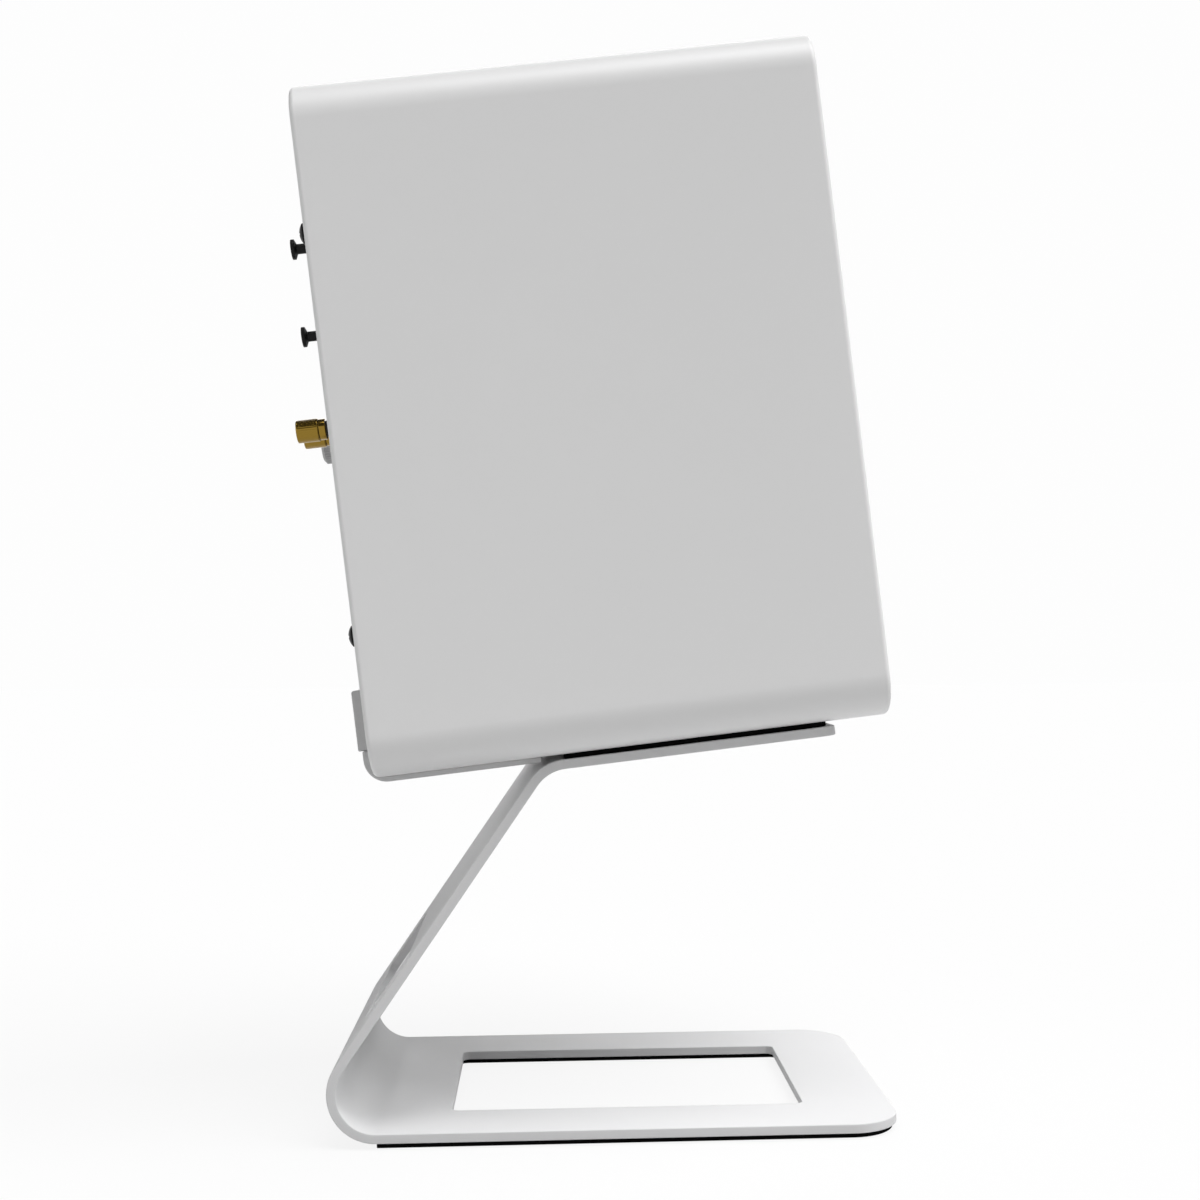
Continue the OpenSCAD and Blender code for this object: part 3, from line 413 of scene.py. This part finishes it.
def hung_ring(name, profile, place, sectors, material, slot, node):
    """A soft ring, built as sectors swept round from its profile and closed at their ends."""
    span = 2 * pi / sectors
    for number in range(sectors):
        bm = placed(turned(profile, 8, span, span * number), place)
        bmesh.ops.holes_fill(bm, edges=[e for e in bm.edges if e.is_boundary], sides=0)
        piece = finished(f"{name}_{number + 1}", bm, material, None, slot, node)
        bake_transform(piece)


def cone_depth(radius):
    """Depth of the cone's face: steep at the neck, flatter towards the rim."""
    way_in = (cone_inner - radius) / (cone_inner - coil_radius)
    return rim_depth + (neck_depth - rim_depth) * way_in ** 1.15


def shell(radius, rise, skin, base, count=10):
    """Profile of a thin domed cap: its outer face from the middle to the rim and back inside."""
    ball = (radius ** 2 + rise ** 2) / (2 * rise)
    radii = [radius * i / count for i in range(count + 1)]
    outer = [(r, base + rise - ball + sqrt(ball ** 2 - r ** 2)) for r in radii]
    return outer + [(r, z - skin) for r, z in reversed(outer)]


def woven(name, color, thread, roughness, relief):
    """Cloth of crossed threads, over and under in turn, with painted shade darkening the gaps between
    threads.
    """
    material = grained(name, color, roughness, 3000, 0.3, 0.1, specular=0.3)
    tree = material.node_tree
    node, link = tree.nodes.new, tree.links.new
    shader = tree.nodes["Principled BSDF"]
    place = node("ShaderNodeTexCoord")
    wave_at_scale_one = 0.314
    heights = []
    for direction in ("X", "Z"):
        threads = node("ShaderNodeTexWave")
        threads.bands_direction = direction
        threads.inputs["Scale"].default_value = wave_at_scale_one / thread
        link(place.outputs["Object"], threads.inputs["Vector"])
        heights.append(threads)
    over = node("ShaderNodeTexChecker")
    over.inputs["Scale"].default_value = 1 / thread
    flat = node("ShaderNodeVectorMath")
    flat.operation = "MULTIPLY"
    flat.inputs[1].default_value = (1, 0, 1)
    pick = node("ShaderNodeMix")
    # Painted shade: the colour darkens to 0.35 where the thread height is low, in the gaps between threads.
    painted_groove_shade = node("ShaderNodeMapRange")
    painted_groove_shade.inputs["To Min"].default_value = 0.35
    tint = node("ShaderNodeMix")
    tint.data_type = "RGBA"
    tint.blend_type = "MULTIPLY"
    tint.inputs["Factor"].default_value = 1
    bump = node("ShaderNodeBump")
    bump.inputs["Strength"].default_value = relief
    bump.inputs["Distance"].default_value = thread / 3
    link(place.outputs["Object"], flat.inputs[0])
    link(flat.outputs[0], over.inputs["Vector"])
    link(over.outputs["Fac"], pick.inputs["Factor"])
    link(heights[0].outputs["Fac"], pick.inputs["A"])
    link(heights[1].outputs["Fac"], pick.inputs["B"])
    link(pick.outputs["Result"], painted_groove_shade.inputs["Value"])
    link(painted_groove_shade.outputs["Result"], tint.inputs["B"])
    link(shader.inputs["Base Color"].links[0].from_socket, tint.inputs["A"])
    link(tint.outputs["Result"], shader.inputs["Base Color"])
    link(pick.outputs["Result"], bump.inputs["Height"])
    link(bump.outputs["Normal"], shader.inputs["Normal"])
    return material


def dress(material, *nodes):
    """Gives CAD nodes their finish."""
    for name in nodes:
        mesh = frame["nodes"][name].data
        mesh.materials.clear()
        mesh.materials.append(material)


woofer = driver(woofer_height)
black_plastic = grained("black_plastic", (0.018, 0.018, 0.019), 0.40, 1600, 0.15, 0.1, specular=0.3)
butyl = grained("butyl_rubber", (0.014, 0.014, 0.014), 0.55, 2500, 0.25, 0.15, specular=0.3)
cone_weave = woven("cone_weave", (0.055, 0.056, 0.06), 0.0011, 0.45, 0.6)
screw_steel = grained("black_screw_steel", (0.012, 0.012, 0.0125), 0.42, 3000, 0.3, 0.1, metallic=0.5,
                      specular=0.2)
cast_alloy = grained("cast_alloy", (0.10, 0.10, 0.105), 0.6, 1200, 0.25, 0.3, metallic=0.4)
bright_steel = grained("bright_steel", (0.62, 0.62, 0.61), 0.34, 1500, 0.1, 0.06, metallic=1.0)
ferrite = grained("ferrite", (0.035, 0.034, 0.036), 0.7, 1500, 0.35, 0.3)
copper_wire = grained("copper_wire", (0.55, 0.24, 0.11), 0.35, 2600, 0.25, 0.2, metallic=0.8)
resin_cloth = woven("resin_cloth", (0.42, 0.30, 0.13), 0.0006, 0.8, 0.5)

trim = turned([(trim_inner, 0), (trim_outer, 0), (trim_outer, trim_wall),
               (trim_outer - trim_shoulder, trim_height), (trim_inner + trim_slope, trim_height),
               (trim_inner, trim_lip)], 144)
soften(trim, 0.0003, 3, 20)
finished("trim_ring", placed(trim, woofer), black_plastic, "speaker", "black_plastic", "woofer_trim_ring")
flat_top = shelf + roll_skin
half_roll = [(flat_inner, shelf), (flat_inner, flat_top), (roll_inner + roll_skin / 3, flat_top)]
half_roll += arc((roll_middle, shelf), roll_radius, 168, 12, 14)
half_roll += [(roll_outer - roll_skin / 3, flat_top), (flat_outer, flat_top), (flat_outer, shelf)]
half_roll += [(roll_outer, shelf)]
half_roll += arc((roll_middle, shelf), roll_radius - roll_skin, 0, 180, 12)
half_roll += [(roll_inner, shelf)]
hung_ring("half_roll", half_roll, woofer, 24, butyl, "soft_rubber", "woofer_surround")
cone_radii = [coil_radius + (cone_inner - coil_radius) * i / 14 for i in range(15)]
cone = [(r, cone_depth(r)) for r in cone_radii]
cone += [(cone_rim, rim_depth), (cone_rim, rim_depth - cone_skin)]
cone += [(r, cone_depth(r) - cone_skin) for r in reversed(cone_radii)]
finished("woven_cone", placed(turned(cone, 128), woofer), cone_weave, "cone", "cone_fibre", "woofer_cone")
cap = turned(shell(cap_radius, cap_rise, cap_skin, cone_depth(cap_radius)), 96, closed=False)
finished("dust_cap", placed(cap, woofer), butyl, "cone", "soft_rubber", "woofer_dust_cap")
dress(cast_alloy, "woofer_basket")
dress(pad_rubber, "woofer_gasket")
dress(screw_steel, "woofer_screws")
dress(copper_wire, "woofer_coil")
dress(resin_cloth, "woofer_spider")
dress(bright_steel, "woofer_top_plate", "woofer_yoke")
dress(ferrite, "woofer_magnet")


# Tweeter
# A coated silk dome in the throat of a moulded waveguide, held by four countersunk screws, with a small
# ferrite motor behind it. The dome and its coil move by a hair.

tweeter_height = 0.206
face_radius, mouth_radius, throat_radius, motor_radius = 0.040, 0.030, 0.016, 0.029
face_thickness, face_edge, motor_depth = 0.004, 0.0005, -0.008
dome_radius, dome_rise, dome_depth, dome_skin = 0.0126, 0.0045, -0.0074, 0.0004
edge_middle, edge_radius, edge_skin = dome_radius + 0.0012, 0.00115, 0.0004
edge_rim, edge_top, edge_bottom = throat_radius - 0.0001, dome_depth + 0.0003, dome_depth - 0.0006
face_screw_circle, face_screw_radius, face_screw_head, face_screw_length = 0.035, 0.0016, 0.0032, 0.012
seat_radius, seat_top, hole_radius, hole_end = 0.0044, 0.001, 0.00175, -0.006
seat_bottom = seat_top - (seat_radius - hole_radius)
tweeter = driver(tweeter_height)


def around(circle, place):
    """Places of four screws on a circle, between the upright and the level."""
    return [place @ Matrix.Rotation(radians(45 + 90 * i), 4, "Z") @ Matrix.Translation((circle, 0, 0))
            for i in range(4)]


def countersunk(radius, head, length):
    """A countersunk screw with a cross recess, the top of its head at height 0."""
    rim, above, recess = 0.0002, 0.001, 0.0012
    bm = turned([(0, 0), (head - rim, 0), (head, -rim), (radius, -(head - radius)),
                 (radius, -length), (0, -length)], 48, closed=False)
    slots = []
    for turn in (0, pi / 2):
        slot = box_mesh((-0.6 * head, -0.1 * head, -recess), (0.6 * head, 0.1 * head, above))
        slots.append(placed(slot, Matrix.Rotation(turn, 4, "Z")))
    return cut_out(bm, slots)


flare_width = mouth_radius - throat_radius
flare = [(mouth_radius - flare_width * cos(radians(a)), motor_depth * (1 - sin(radians(a))))
         for a in range(0, 91, 6)]
guide = turned(flare + [(face_radius - face_edge, 0), (face_radius, -face_edge),
                        (face_radius, -face_thickness), (motor_radius, -face_thickness),
                        (motor_radius, motor_depth)], 128)
seat = [(0, seat_top), (seat_radius, seat_top), (hole_radius, seat_bottom), (hole_radius, hole_end)]
seat += [(0, hole_end)]
seats = [placed(turned(seat, 48, closed=False), place)
         for place in around(face_screw_circle, Matrix.Identity(4))]
guide = placed(cut_out(guide, seats), tweeter)
finished("waveguide", guide, black_plastic, "speaker", "black_plastic", "tweeter_faceplate", crease=25)
for number, place in enumerate(around(face_screw_circle, tweeter)):
    screw = placed(countersunk(face_screw_radius, face_screw_head, face_screw_length), place)
    finished(f"waveguide_screw_{number + 1}", screw, screw_steel, "speaker", "black_screw_steel",
             "tweeter_screws")
silk = woven("coated_silk", (0.03, 0.03, 0.032), 0.0004, 0.5, 0.35)
dome = turned(shell(dome_radius, dome_rise, dome_skin, dome_depth), 96, closed=False)
finished("silk_dome", placed(dome, tweeter), silk, "dome", "woven_cloth", "tweeter_dome")
edge_roll = arc((edge_middle, dome_depth), edge_radius, 180, 15, 10)
edge_roll += [(edge_rim, edge_top), (edge_rim, edge_bottom)]
edge_roll += [(edge_middle + edge_radius - edge_skin, edge_bottom)]
edge_roll += arc((edge_middle, dome_depth), edge_radius - edge_skin, 0, 180, 8)
hung_ring("dome_edge", edge_roll, tweeter, 12, silk, "woven_cloth", "tweeter_surround")
dress(copper_wire, "tweeter_coil")
dress(bright_steel, "tweeter_top_plate", "tweeter_yoke")
dress(ferrite, "tweeter_magnet")


# Amplifier plate
# Brushed and anodised aluminium, let in flush over a foam gasket and held by four pan-head screws with
# washers. Four more screws are left standing out of it, to hang the speaker on a keyhole bracket.


def brushed(name, color, roughness, depth):
    """Metal with fine hair lines from side to side."""
    material = grained(name, color, roughness, 2400, 0.05, 0.05, metallic=1.0)
    tree = material.node_tree
    node, link = tree.nodes.new, tree.links.new
    shader = tree.nodes["Principled BSDF"]
    place = node("ShaderNodeTexCoord")
    stretch = node("ShaderNodeVectorMath")
    stretch.operation = "MULTIPLY"
    stretch.inputs[1].default_value = (20, 3000, 3000)
    hairs = node("ShaderNodeTexNoise")
    hairs.inputs["Scale"].default_value = 1
    polish = node("ShaderNodeMapRange")
    polish.inputs["To Min"].default_value = roughness - 0.12
    polish.inputs["To Max"].default_value = roughness + 0.12
    bump = node("ShaderNodeBump")
    bump.inputs["Strength"].default_value = depth
    bump.inputs["Distance"].default_value = 0.0002
    link(place.outputs["Object"], stretch.inputs[0])
    link(stretch.outputs[0], hairs.inputs["Vector"])
    link(hairs.outputs["Fac"], polish.inputs["Value"])
    link(polish.outputs["Result"], shader.inputs["Roughness"])
    link(hairs.outputs["Fac"], bump.inputs["Height"])
    link(bump.outputs["Normal"], shader.inputs["Normal"])
    return material


plate_aluminium = brushed("plate_aluminium", (0.55, 0.55, 0.56), 0.38, 0.25)
softened("rear_plate", "amp_plate", plate_aluminium, "speaker", "plate_aluminium", 0.0003, 2)
softened("plate_screw_set", "plate_screws", screw_steel, "speaker", "black_screw_steel", 0.00025, 2)
softened("hanger_screw_set", "hanger_screws", screw_steel, "speaker", "black_screw_steel", 0.00025, 2)
dress(open_foam, "plate_gasket")


# Terminal posts
# Turned brass, plated with gold. A black insulator carries each post through the plate; a smooth sleeve
# clamps a bare wire against it when the fluted nut is screwed in, and a plug fits the post's hollow end.

terminal_height = 0.1375
post_across = {"left": -0.0355, "right": -0.0165}
post_radius, plug_radius, plug_depth, post_tail = 0.0026, 0.002, 0.014, 0.0115
plate_thickness, washer_thickness = 0.0025, 0.0015
lock_radius, lock_thickness = 0.004, 0.003
plate_inside = -plate_thickness
washer_end = plate_inside - washer_thickness
lock_end = washer_end - lock_thickness
collar_radius, collar_length = 0.0033, 0.0070
flange_radius, flange_thickness = 0.006, 0.002
sleeve_radius, sleeve_length = 0.0042, 0.0028
nut_radius, nut_length, nut_edge = 0.00455, 0.0088, 0.0004
flutes, flute_depth, flute_margin = 32, 0.00005, 0.0005
gap = 0.00005
bore_radius = post_radius + gap
post_sunk = 0.0004
post_end = collar_length + sleeve_length + nut_length - post_sunk


def on_back(across, height):
    """Place on the rear plate: heights run out of it, from its outer face."""
    return (speaker @ Matrix.Translation((across, cabinet_depth / 2 - panel_recess, height))
            @ Matrix.Rotation(-pi / 2, 4, "X"))


def flute(bm, count, depth, low, high, inside):
    """Presses rounded grooves into a turned wall, between two heights."""
    for vert in bm.verts:
        radius = vert.co.xy.length
        if low < vert.co.z < high and radius > inside:
            wave = cos(count * Vector((1, 0)).angle_signed(vert.co.xy, 0.0))
            vert.co.xy *= (radius - depth * max(0.0, wave) ** 0.5) / radius


gold = grained("gold_plate", (0.24, 0.148, 0.016), 0.12, 2600, 0.03, 0.01, spread=0.03, metallic=1.0)
gold_gloss = gold.node_tree.nodes["Principled BSDF"]
gold_gloss.inputs["Coat Weight"].default_value = 0.3
gold_gloss.inputs["Coat Roughness"].default_value = 0.12
for hand, across in post_across.items():
    place = on_back(across, terminal_height)
    collar = turned([(post_radius, washer_end), (flange_radius, washer_end), (flange_radius, plate_inside),
                     (collar_radius, plate_inside), (collar_radius, 0), (flange_radius, 0),
                     (flange_radius, flange_thickness), (collar_radius, flange_thickness),
                     (collar_radius, collar_length), (post_radius, collar_length)])
    soften(collar, 0.0003)
    finished(f"collar_{hand}", placed(collar, place), black_plastic, "speaker", "black_plastic",
             "post_collars")
    post = turned([(0, -post_tail), (post_radius, -post_tail), (post_radius, lock_end),
                   (lock_radius, lock_end), (lock_radius, washer_end), (post_radius, washer_end),
                   (post_radius, post_end), (plug_radius, post_end), (plug_radius, post_end - plug_depth),
                   (0, post_end - plug_depth)], 64, closed=False)
    soften(post, 0.00015, 2)
    finished(f"post_{hand}", placed(post, place), gold, "speaker", "gold_brass", "post_studs")
    bottom, top = collar_length + gap, collar_length + sleeve_length
    clamp = turned([(bore_radius, bottom), (sleeve_radius, bottom), (sleeve_radius, top), (bore_radius, top)])
    soften(clamp, 0.0003)
    finished(f"clamp_{hand}", placed(clamp, place), gold, f"clamp_{hand}", "gold_brass",
             f"clamp_sleeve_{hand}")
    bottom, top = top + gap, top + gap + nut_length
    low, high = bottom + flute_margin, top - flute_margin
    nut = turned([(bore_radius, bottom), (nut_radius, bottom), (nut_radius, low),
                  (nut_radius, low + nut_edge), (nut_radius, high - nut_edge), (nut_radius, high),
                  (nut_radius, top), (bore_radius, top)], 320)
    soften(nut, nut_edge)
    flute(nut, flutes, flute_depth, low + nut_edge / 2, high - nut_edge / 2, nut_radius - nut_edge / 2)
    finished(f"nut_{hand}", placed(nut, place), gold, f"nut_{hand}", "gold_brass",
             f"post_nut_{hand}", crease=50)


# Level control
# A grey knurled knob, pressed on the steel shaft of a potentiometer that a hexagon nut holds in the plate.
# A groove in its end face, out to the rim, shows where it stands.

knob_across = 0.020
knob_radius, knob_bottom, knob_top = 0.007, 0.0026, 0.0162
shaft_radius, shaft_end = 0.003, 0.014
hollow_radius, hollow_top = 0.0056, knob_bottom + 0.0024
chamfer_start, chamfer_width = knob_top - 0.0012, 0.0015
knurls, knurl_depth, wall_skin = 36, 0.0003, 0.0002
hem, knurl_start, knurl_end = knob_bottom + 0.0006, knob_bottom + 0.0009, knob_top - 0.0021
knurl_low, knurl_high = knob_bottom + 0.0007, knob_top - 0.0015
groove_half, groove_depth, groove_above = 0.0004, 0.0006, 0.001
groove_start, groove_end = 0.0005 - knob_radius, 0.0045 - knob_radius
knob_place = on_back(knob_across, terminal_height)
knob = turned([(shaft_radius, hollow_top), (hollow_radius, hollow_top), (hollow_radius, knob_bottom),
               (knob_radius, knob_bottom), (knob_radius, hem), (knob_radius, knurl_start),
               (knob_radius, knurl_end), (knob_radius, chamfer_start),
               (knob_radius - chamfer_width, knob_top), (0, knob_top), (0, shaft_end),
               (shaft_radius, shaft_end)], 360)
soften(knob, 0.0003)
flute(knob, knurls, knurl_depth, knurl_low, knurl_high, knob_radius - wall_skin)
groove = box_mesh((-groove_half, groove_start, knob_top - groove_depth),
                  (groove_half, groove_end, knob_top + groove_above))
knob = placed(cut_out(knob, [groove]), knob_place)
knob_grey = grained("knob_grey", (0.47, 0.47, 0.472), 0.5, 1800, 0.05, 0.12)
finished("knob", knob, knob_grey, "knob", "grey_plastic", "level_knob", crease=50)
dress(bright_steel, "level_shaft")
dress(screw_steel, "level_pot")


# Line inputs
# Two phono sockets: barrels turned from brass and plated with gold, clamped to the plate between a collar
# and a nut. The black insulator in each one has a hole for the plug's pin.

jack_across = (0.040, 0.058)
barrel_inner, barrel_outer, barrel_top = 0.0032, 0.00415, 0.0096
jack_collar_radius, jack_collar_top = 0.0054, 0.0016
neck_radius, jack_nut_radius, jack_nut_end = 0.004, 0.006, plate_inside - 0.002
tail_bore, tail_end = 0.0026, plate_inside - 0.006
pin_hole, insulator_top = 0.0016, 0.003
for number, across in enumerate(jack_across):
    place = on_back(across, terminal_height)
    barrel = turned([(barrel_inner, jack_collar_top), (barrel_inner, barrel_top), (barrel_outer, barrel_top),
                     (barrel_outer, jack_collar_top), (jack_collar_radius, jack_collar_top),
                     (jack_collar_radius, 0), (neck_radius, 0), (neck_radius, plate_inside),
                     (jack_nut_radius, plate_inside), (jack_nut_radius, jack_nut_end),
                     (neck_radius, jack_nut_end), (neck_radius, tail_end), (tail_bore, tail_end),
                     (tail_bore, jack_collar_top)])
    soften(barrel, 0.0002)
    finished(f"jack_barrel_{number + 1}", placed(barrel, place), gold, "speaker", "gold_brass", "line_jacks")
    insulator = turned([(pin_hole, insulator_top), (barrel_inner, insulator_top),
                        (barrel_inner, jack_collar_top), (tail_bore, jack_collar_top), (tail_bore, tail_end),
                        (pin_hole, tail_end)], 64)
    soften(insulator, 0.0002)
    finished(f"jack_insulator_{number + 1}", placed(insulator, place), black_plastic, "speaker",
             "black_plastic", "line_jacks")


# Mains inlet and switch
# Black moulded inserts snapped into the plate: a two-pin socket for a removable lead, and a rocker switch
# that tips on two small pivots.

inlet_across, low_row_height = -0.045, 0.068
pin_offset, pin_radius, pin_bottom, pin_margin = 0.0042, 0.0012, -0.0104, 0.0002
inlet = cad_copy("mains_inlet")
soften(inlet, 0.0003, 2)
back_to_plate = on_back(inlet_across, low_row_height).inverted()
for face in inlet.faces:
    point = back_to_plate @ face.calc_center_median()
    reach = min((Vector((side * pin_offset, 0)) - point.xy).length for side in (-1, 1))
    face.material_index = int(reach < pin_radius + pin_margin and point.z > pin_bottom + pin_margin)
socket = finished("socket", inlet, black_plastic, "speaker", "black_plastic", "mains_inlet")
socket.data.materials.append(bright_steel)
softened("switch_frame", "switch_bezel", black_plastic, "speaker", "black_plastic", 0.0003, 2)
softened("rocker", "switch_rocker", black_plastic, "rocker", "black_plastic", 0.0004, 3)


# Inside the cabinet
# The amplifier's glass-fibre board on hexagon pillars, with a finned heat sink and two capacitors, a ring
# transformer bolted to the floor, and the leads to both drivers.

board_green = grained("board_green", (0.02, 0.13, 0.05), 0.35, 700, 0.5, 0.15)
capacitor_sleeve = grained("capacitor_sleeve", (0.02, 0.03, 0.09), 0.35, 1500, 0.2, 0.08)
sink_aluminium = brushed("sink_aluminium", (0.25, 0.25, 0.26), 0.45, 0.2)
winding = woven("transformer_winding", (0.55, 0.33, 0.12), 0.0009, 0.5, 0.6)
red_insulation = grained("red_insulation", (0.32, 0.02, 0.02), 0.45, 1500, 0.2, 0.08)
dress(board_green, "amp_board")
dress(bright_steel, "board_standoffs", "transformer_bolt")
dress(sink_aluminium, "heat_sink")
dress(capacitor_sleeve, "capacitors")
dress(winding, "transformer")
dress(red_insulation, "driver_leads")


# Floor, light and camera
# A pale table top, a white backdrop with a dim ceiling above it for the metal to mirror, and soft light
# mostly from above and in front. The camera looks straight at one side, from just below half height.

floor_gap, floor_reach = 0.0003, 6
table_top = bmesh.new()
just_below = Matrix.Translation((0, 0, -floor_gap))
bmesh.ops.create_grid(table_top, x_segments=1, y_segments=1, size=floor_reach, matrix=just_below)
floor = loose_object("floor", table_top)


def seen_rays(tree):
    """1 for what the camera sees, straight on, mirrored or through glass, and 0 for soft light."""
    ray = tree.nodes.new("ShaderNodeLightPath")
    total = ray.outputs["Is Camera Ray"]
    for kind in ("Is Glossy Ray", "Is Transmission Ray"):
        either = tree.nodes.new("ShaderNodeMath")
        either.operation = "MAXIMUM"
        tree.links.new(total, either.inputs[0])
        tree.links.new(ray.outputs[kind], either.inputs[1])
        total = either.outputs[0]
    return total


floor_paint = bpy.data.materials.new("floor_paint")
floor_paint.use_nodes = True
tree = floor_paint.node_tree
tree.nodes.clear()
node, link = tree.nodes.new, tree.links.new
result = node("ShaderNodeOutputMaterial")
glow = node("ShaderNodeEmission")
glow.inputs["Strength"].default_value = 0.872
shade = node("ShaderNodeBsdfDiffuse")
shade.inputs["Color"].default_value = (0.10, 0.10, 0.10, 1)
both = node("ShaderNodeAddShader")
plain = node("ShaderNodeBsdfDiffuse")
plain.inputs["Color"].default_value = (0.62, 0.62, 0.62, 1)
choose = node("ShaderNodeMixShader")
link(seen_rays(tree), choose.inputs["Fac"])
link(glow.outputs[0], both.inputs[0])
link(shade.outputs[0], both.inputs[1])
link(plain.outputs[0], choose.inputs[1])
link(both.outputs[0], choose.inputs[2])
link(choose.outputs[0], result.inputs["Surface"])
floor.data.materials.append(floor_paint)

world = bpy.data.worlds.new("studio")
bpy.context.scene.world = world
world.use_nodes = True
tree = world.node_tree
tree.nodes.clear()
node, link = tree.nodes.new, tree.links.new
result = node("ShaderNodeOutputWorld")
direction = node("ShaderNodeTexCoord")
height = node("ShaderNodeSeparateXYZ")
dimmer = node("ShaderNodeMapRange")
dimmer.inputs["From Min"].default_value = 0.42
dimmer.inputs["From Max"].default_value = 0.50
dimmer.inputs["To Min"].default_value = 0.985
dimmer.inputs["To Max"].default_value = 0.10
backdrop = node("ShaderNodeBackground")
sky = node("ShaderNodeBackground")
sky.inputs["Strength"].default_value = 0.03
choose = node("ShaderNodeMixShader")
for source in (backdrop, sky):
    source.inputs["Color"].default_value = (1, 1, 1, 1)
link(seen_rays(tree), choose.inputs["Fac"])
link(direction.outputs["Generated"], height.inputs[0])
link(height.outputs["Z"], dimmer.inputs["Value"])
link(dimmer.outputs["Result"], backdrop.inputs["Strength"])
link(sky.outputs[0], choose.inputs[1])
link(backdrop.outputs[0], choose.inputs[2])
link(choose.outputs[0], result.inputs["Surface"])


def soft_sun(name, towards, width, strength):
    """A wide, even lamp far away: where it stands, how many degrees it spans and how strong it is."""
    lamp = bpy.data.lights.new(name, "SUN")
    lamp.angle = radians(width)
    lamp.energy = strength
    thing = bpy.data.objects.new(name, lamp)
    thing.rotation_euler = Vector(towards).to_track_quat("Z", "Y").to_euler()
    bpy.context.scene.collection.objects.link(thing)


soft_sun("overhead", (-0.28, -0.05, 1.0), 30, 1.03)
soft_sun("front_high", (-0.3, -0.7, 1.2), 44, 1.90)
soft_sun("front", (-0.3, -0.9, 0.9), 60, 0.56)
soft_sun("far_side", (1.0, -0.1, 0.35), 60, 1.35)
soft_sun("rear", (-0.6, 0.8, 0.45), 60, 0.40)

image_side = 1200
focal_pixels = 1615
centre_pixels = (636.2, 639.7)
camera_place = (-0.6834, 0.0254, 0.1900)
yaw, pitch, roll = radians(-3.097), radians(0.02), radians(-0.32)
look = Vector((cos(pitch) * cos(yaw), cos(pitch) * sin(yaw), sin(pitch)))
level = look.cross(Vector((0, 0, 1))).normalized()
upward = level.cross(look)
lens = bpy.data.cameras.new("camera")
lens.sensor_width = 36
lens.lens = focal_pixels / image_side * lens.sensor_width
lens.shift_x = (image_side / 2 - centre_pixels[0]) / image_side
lens.shift_y = (centre_pixels[1] - image_side / 2) / image_side
lens.clip_start = 0.01
camera = bpy.data.objects.new("camera", lens)
stance = Matrix.Identity(4)
stance.col[0].xyz = level * cos(roll) + upward * sin(roll)
stance.col[1].xyz = upward * cos(roll) - level * sin(roll)
stance.col[2].xyz = -look
stance.translation = camera_place
camera.matrix_world = stance
bpy.context.scene.collection.objects.link(camera)
bpy.context.scene.camera = camera
bpy.context.scene.view_settings.view_transform = "Standard"
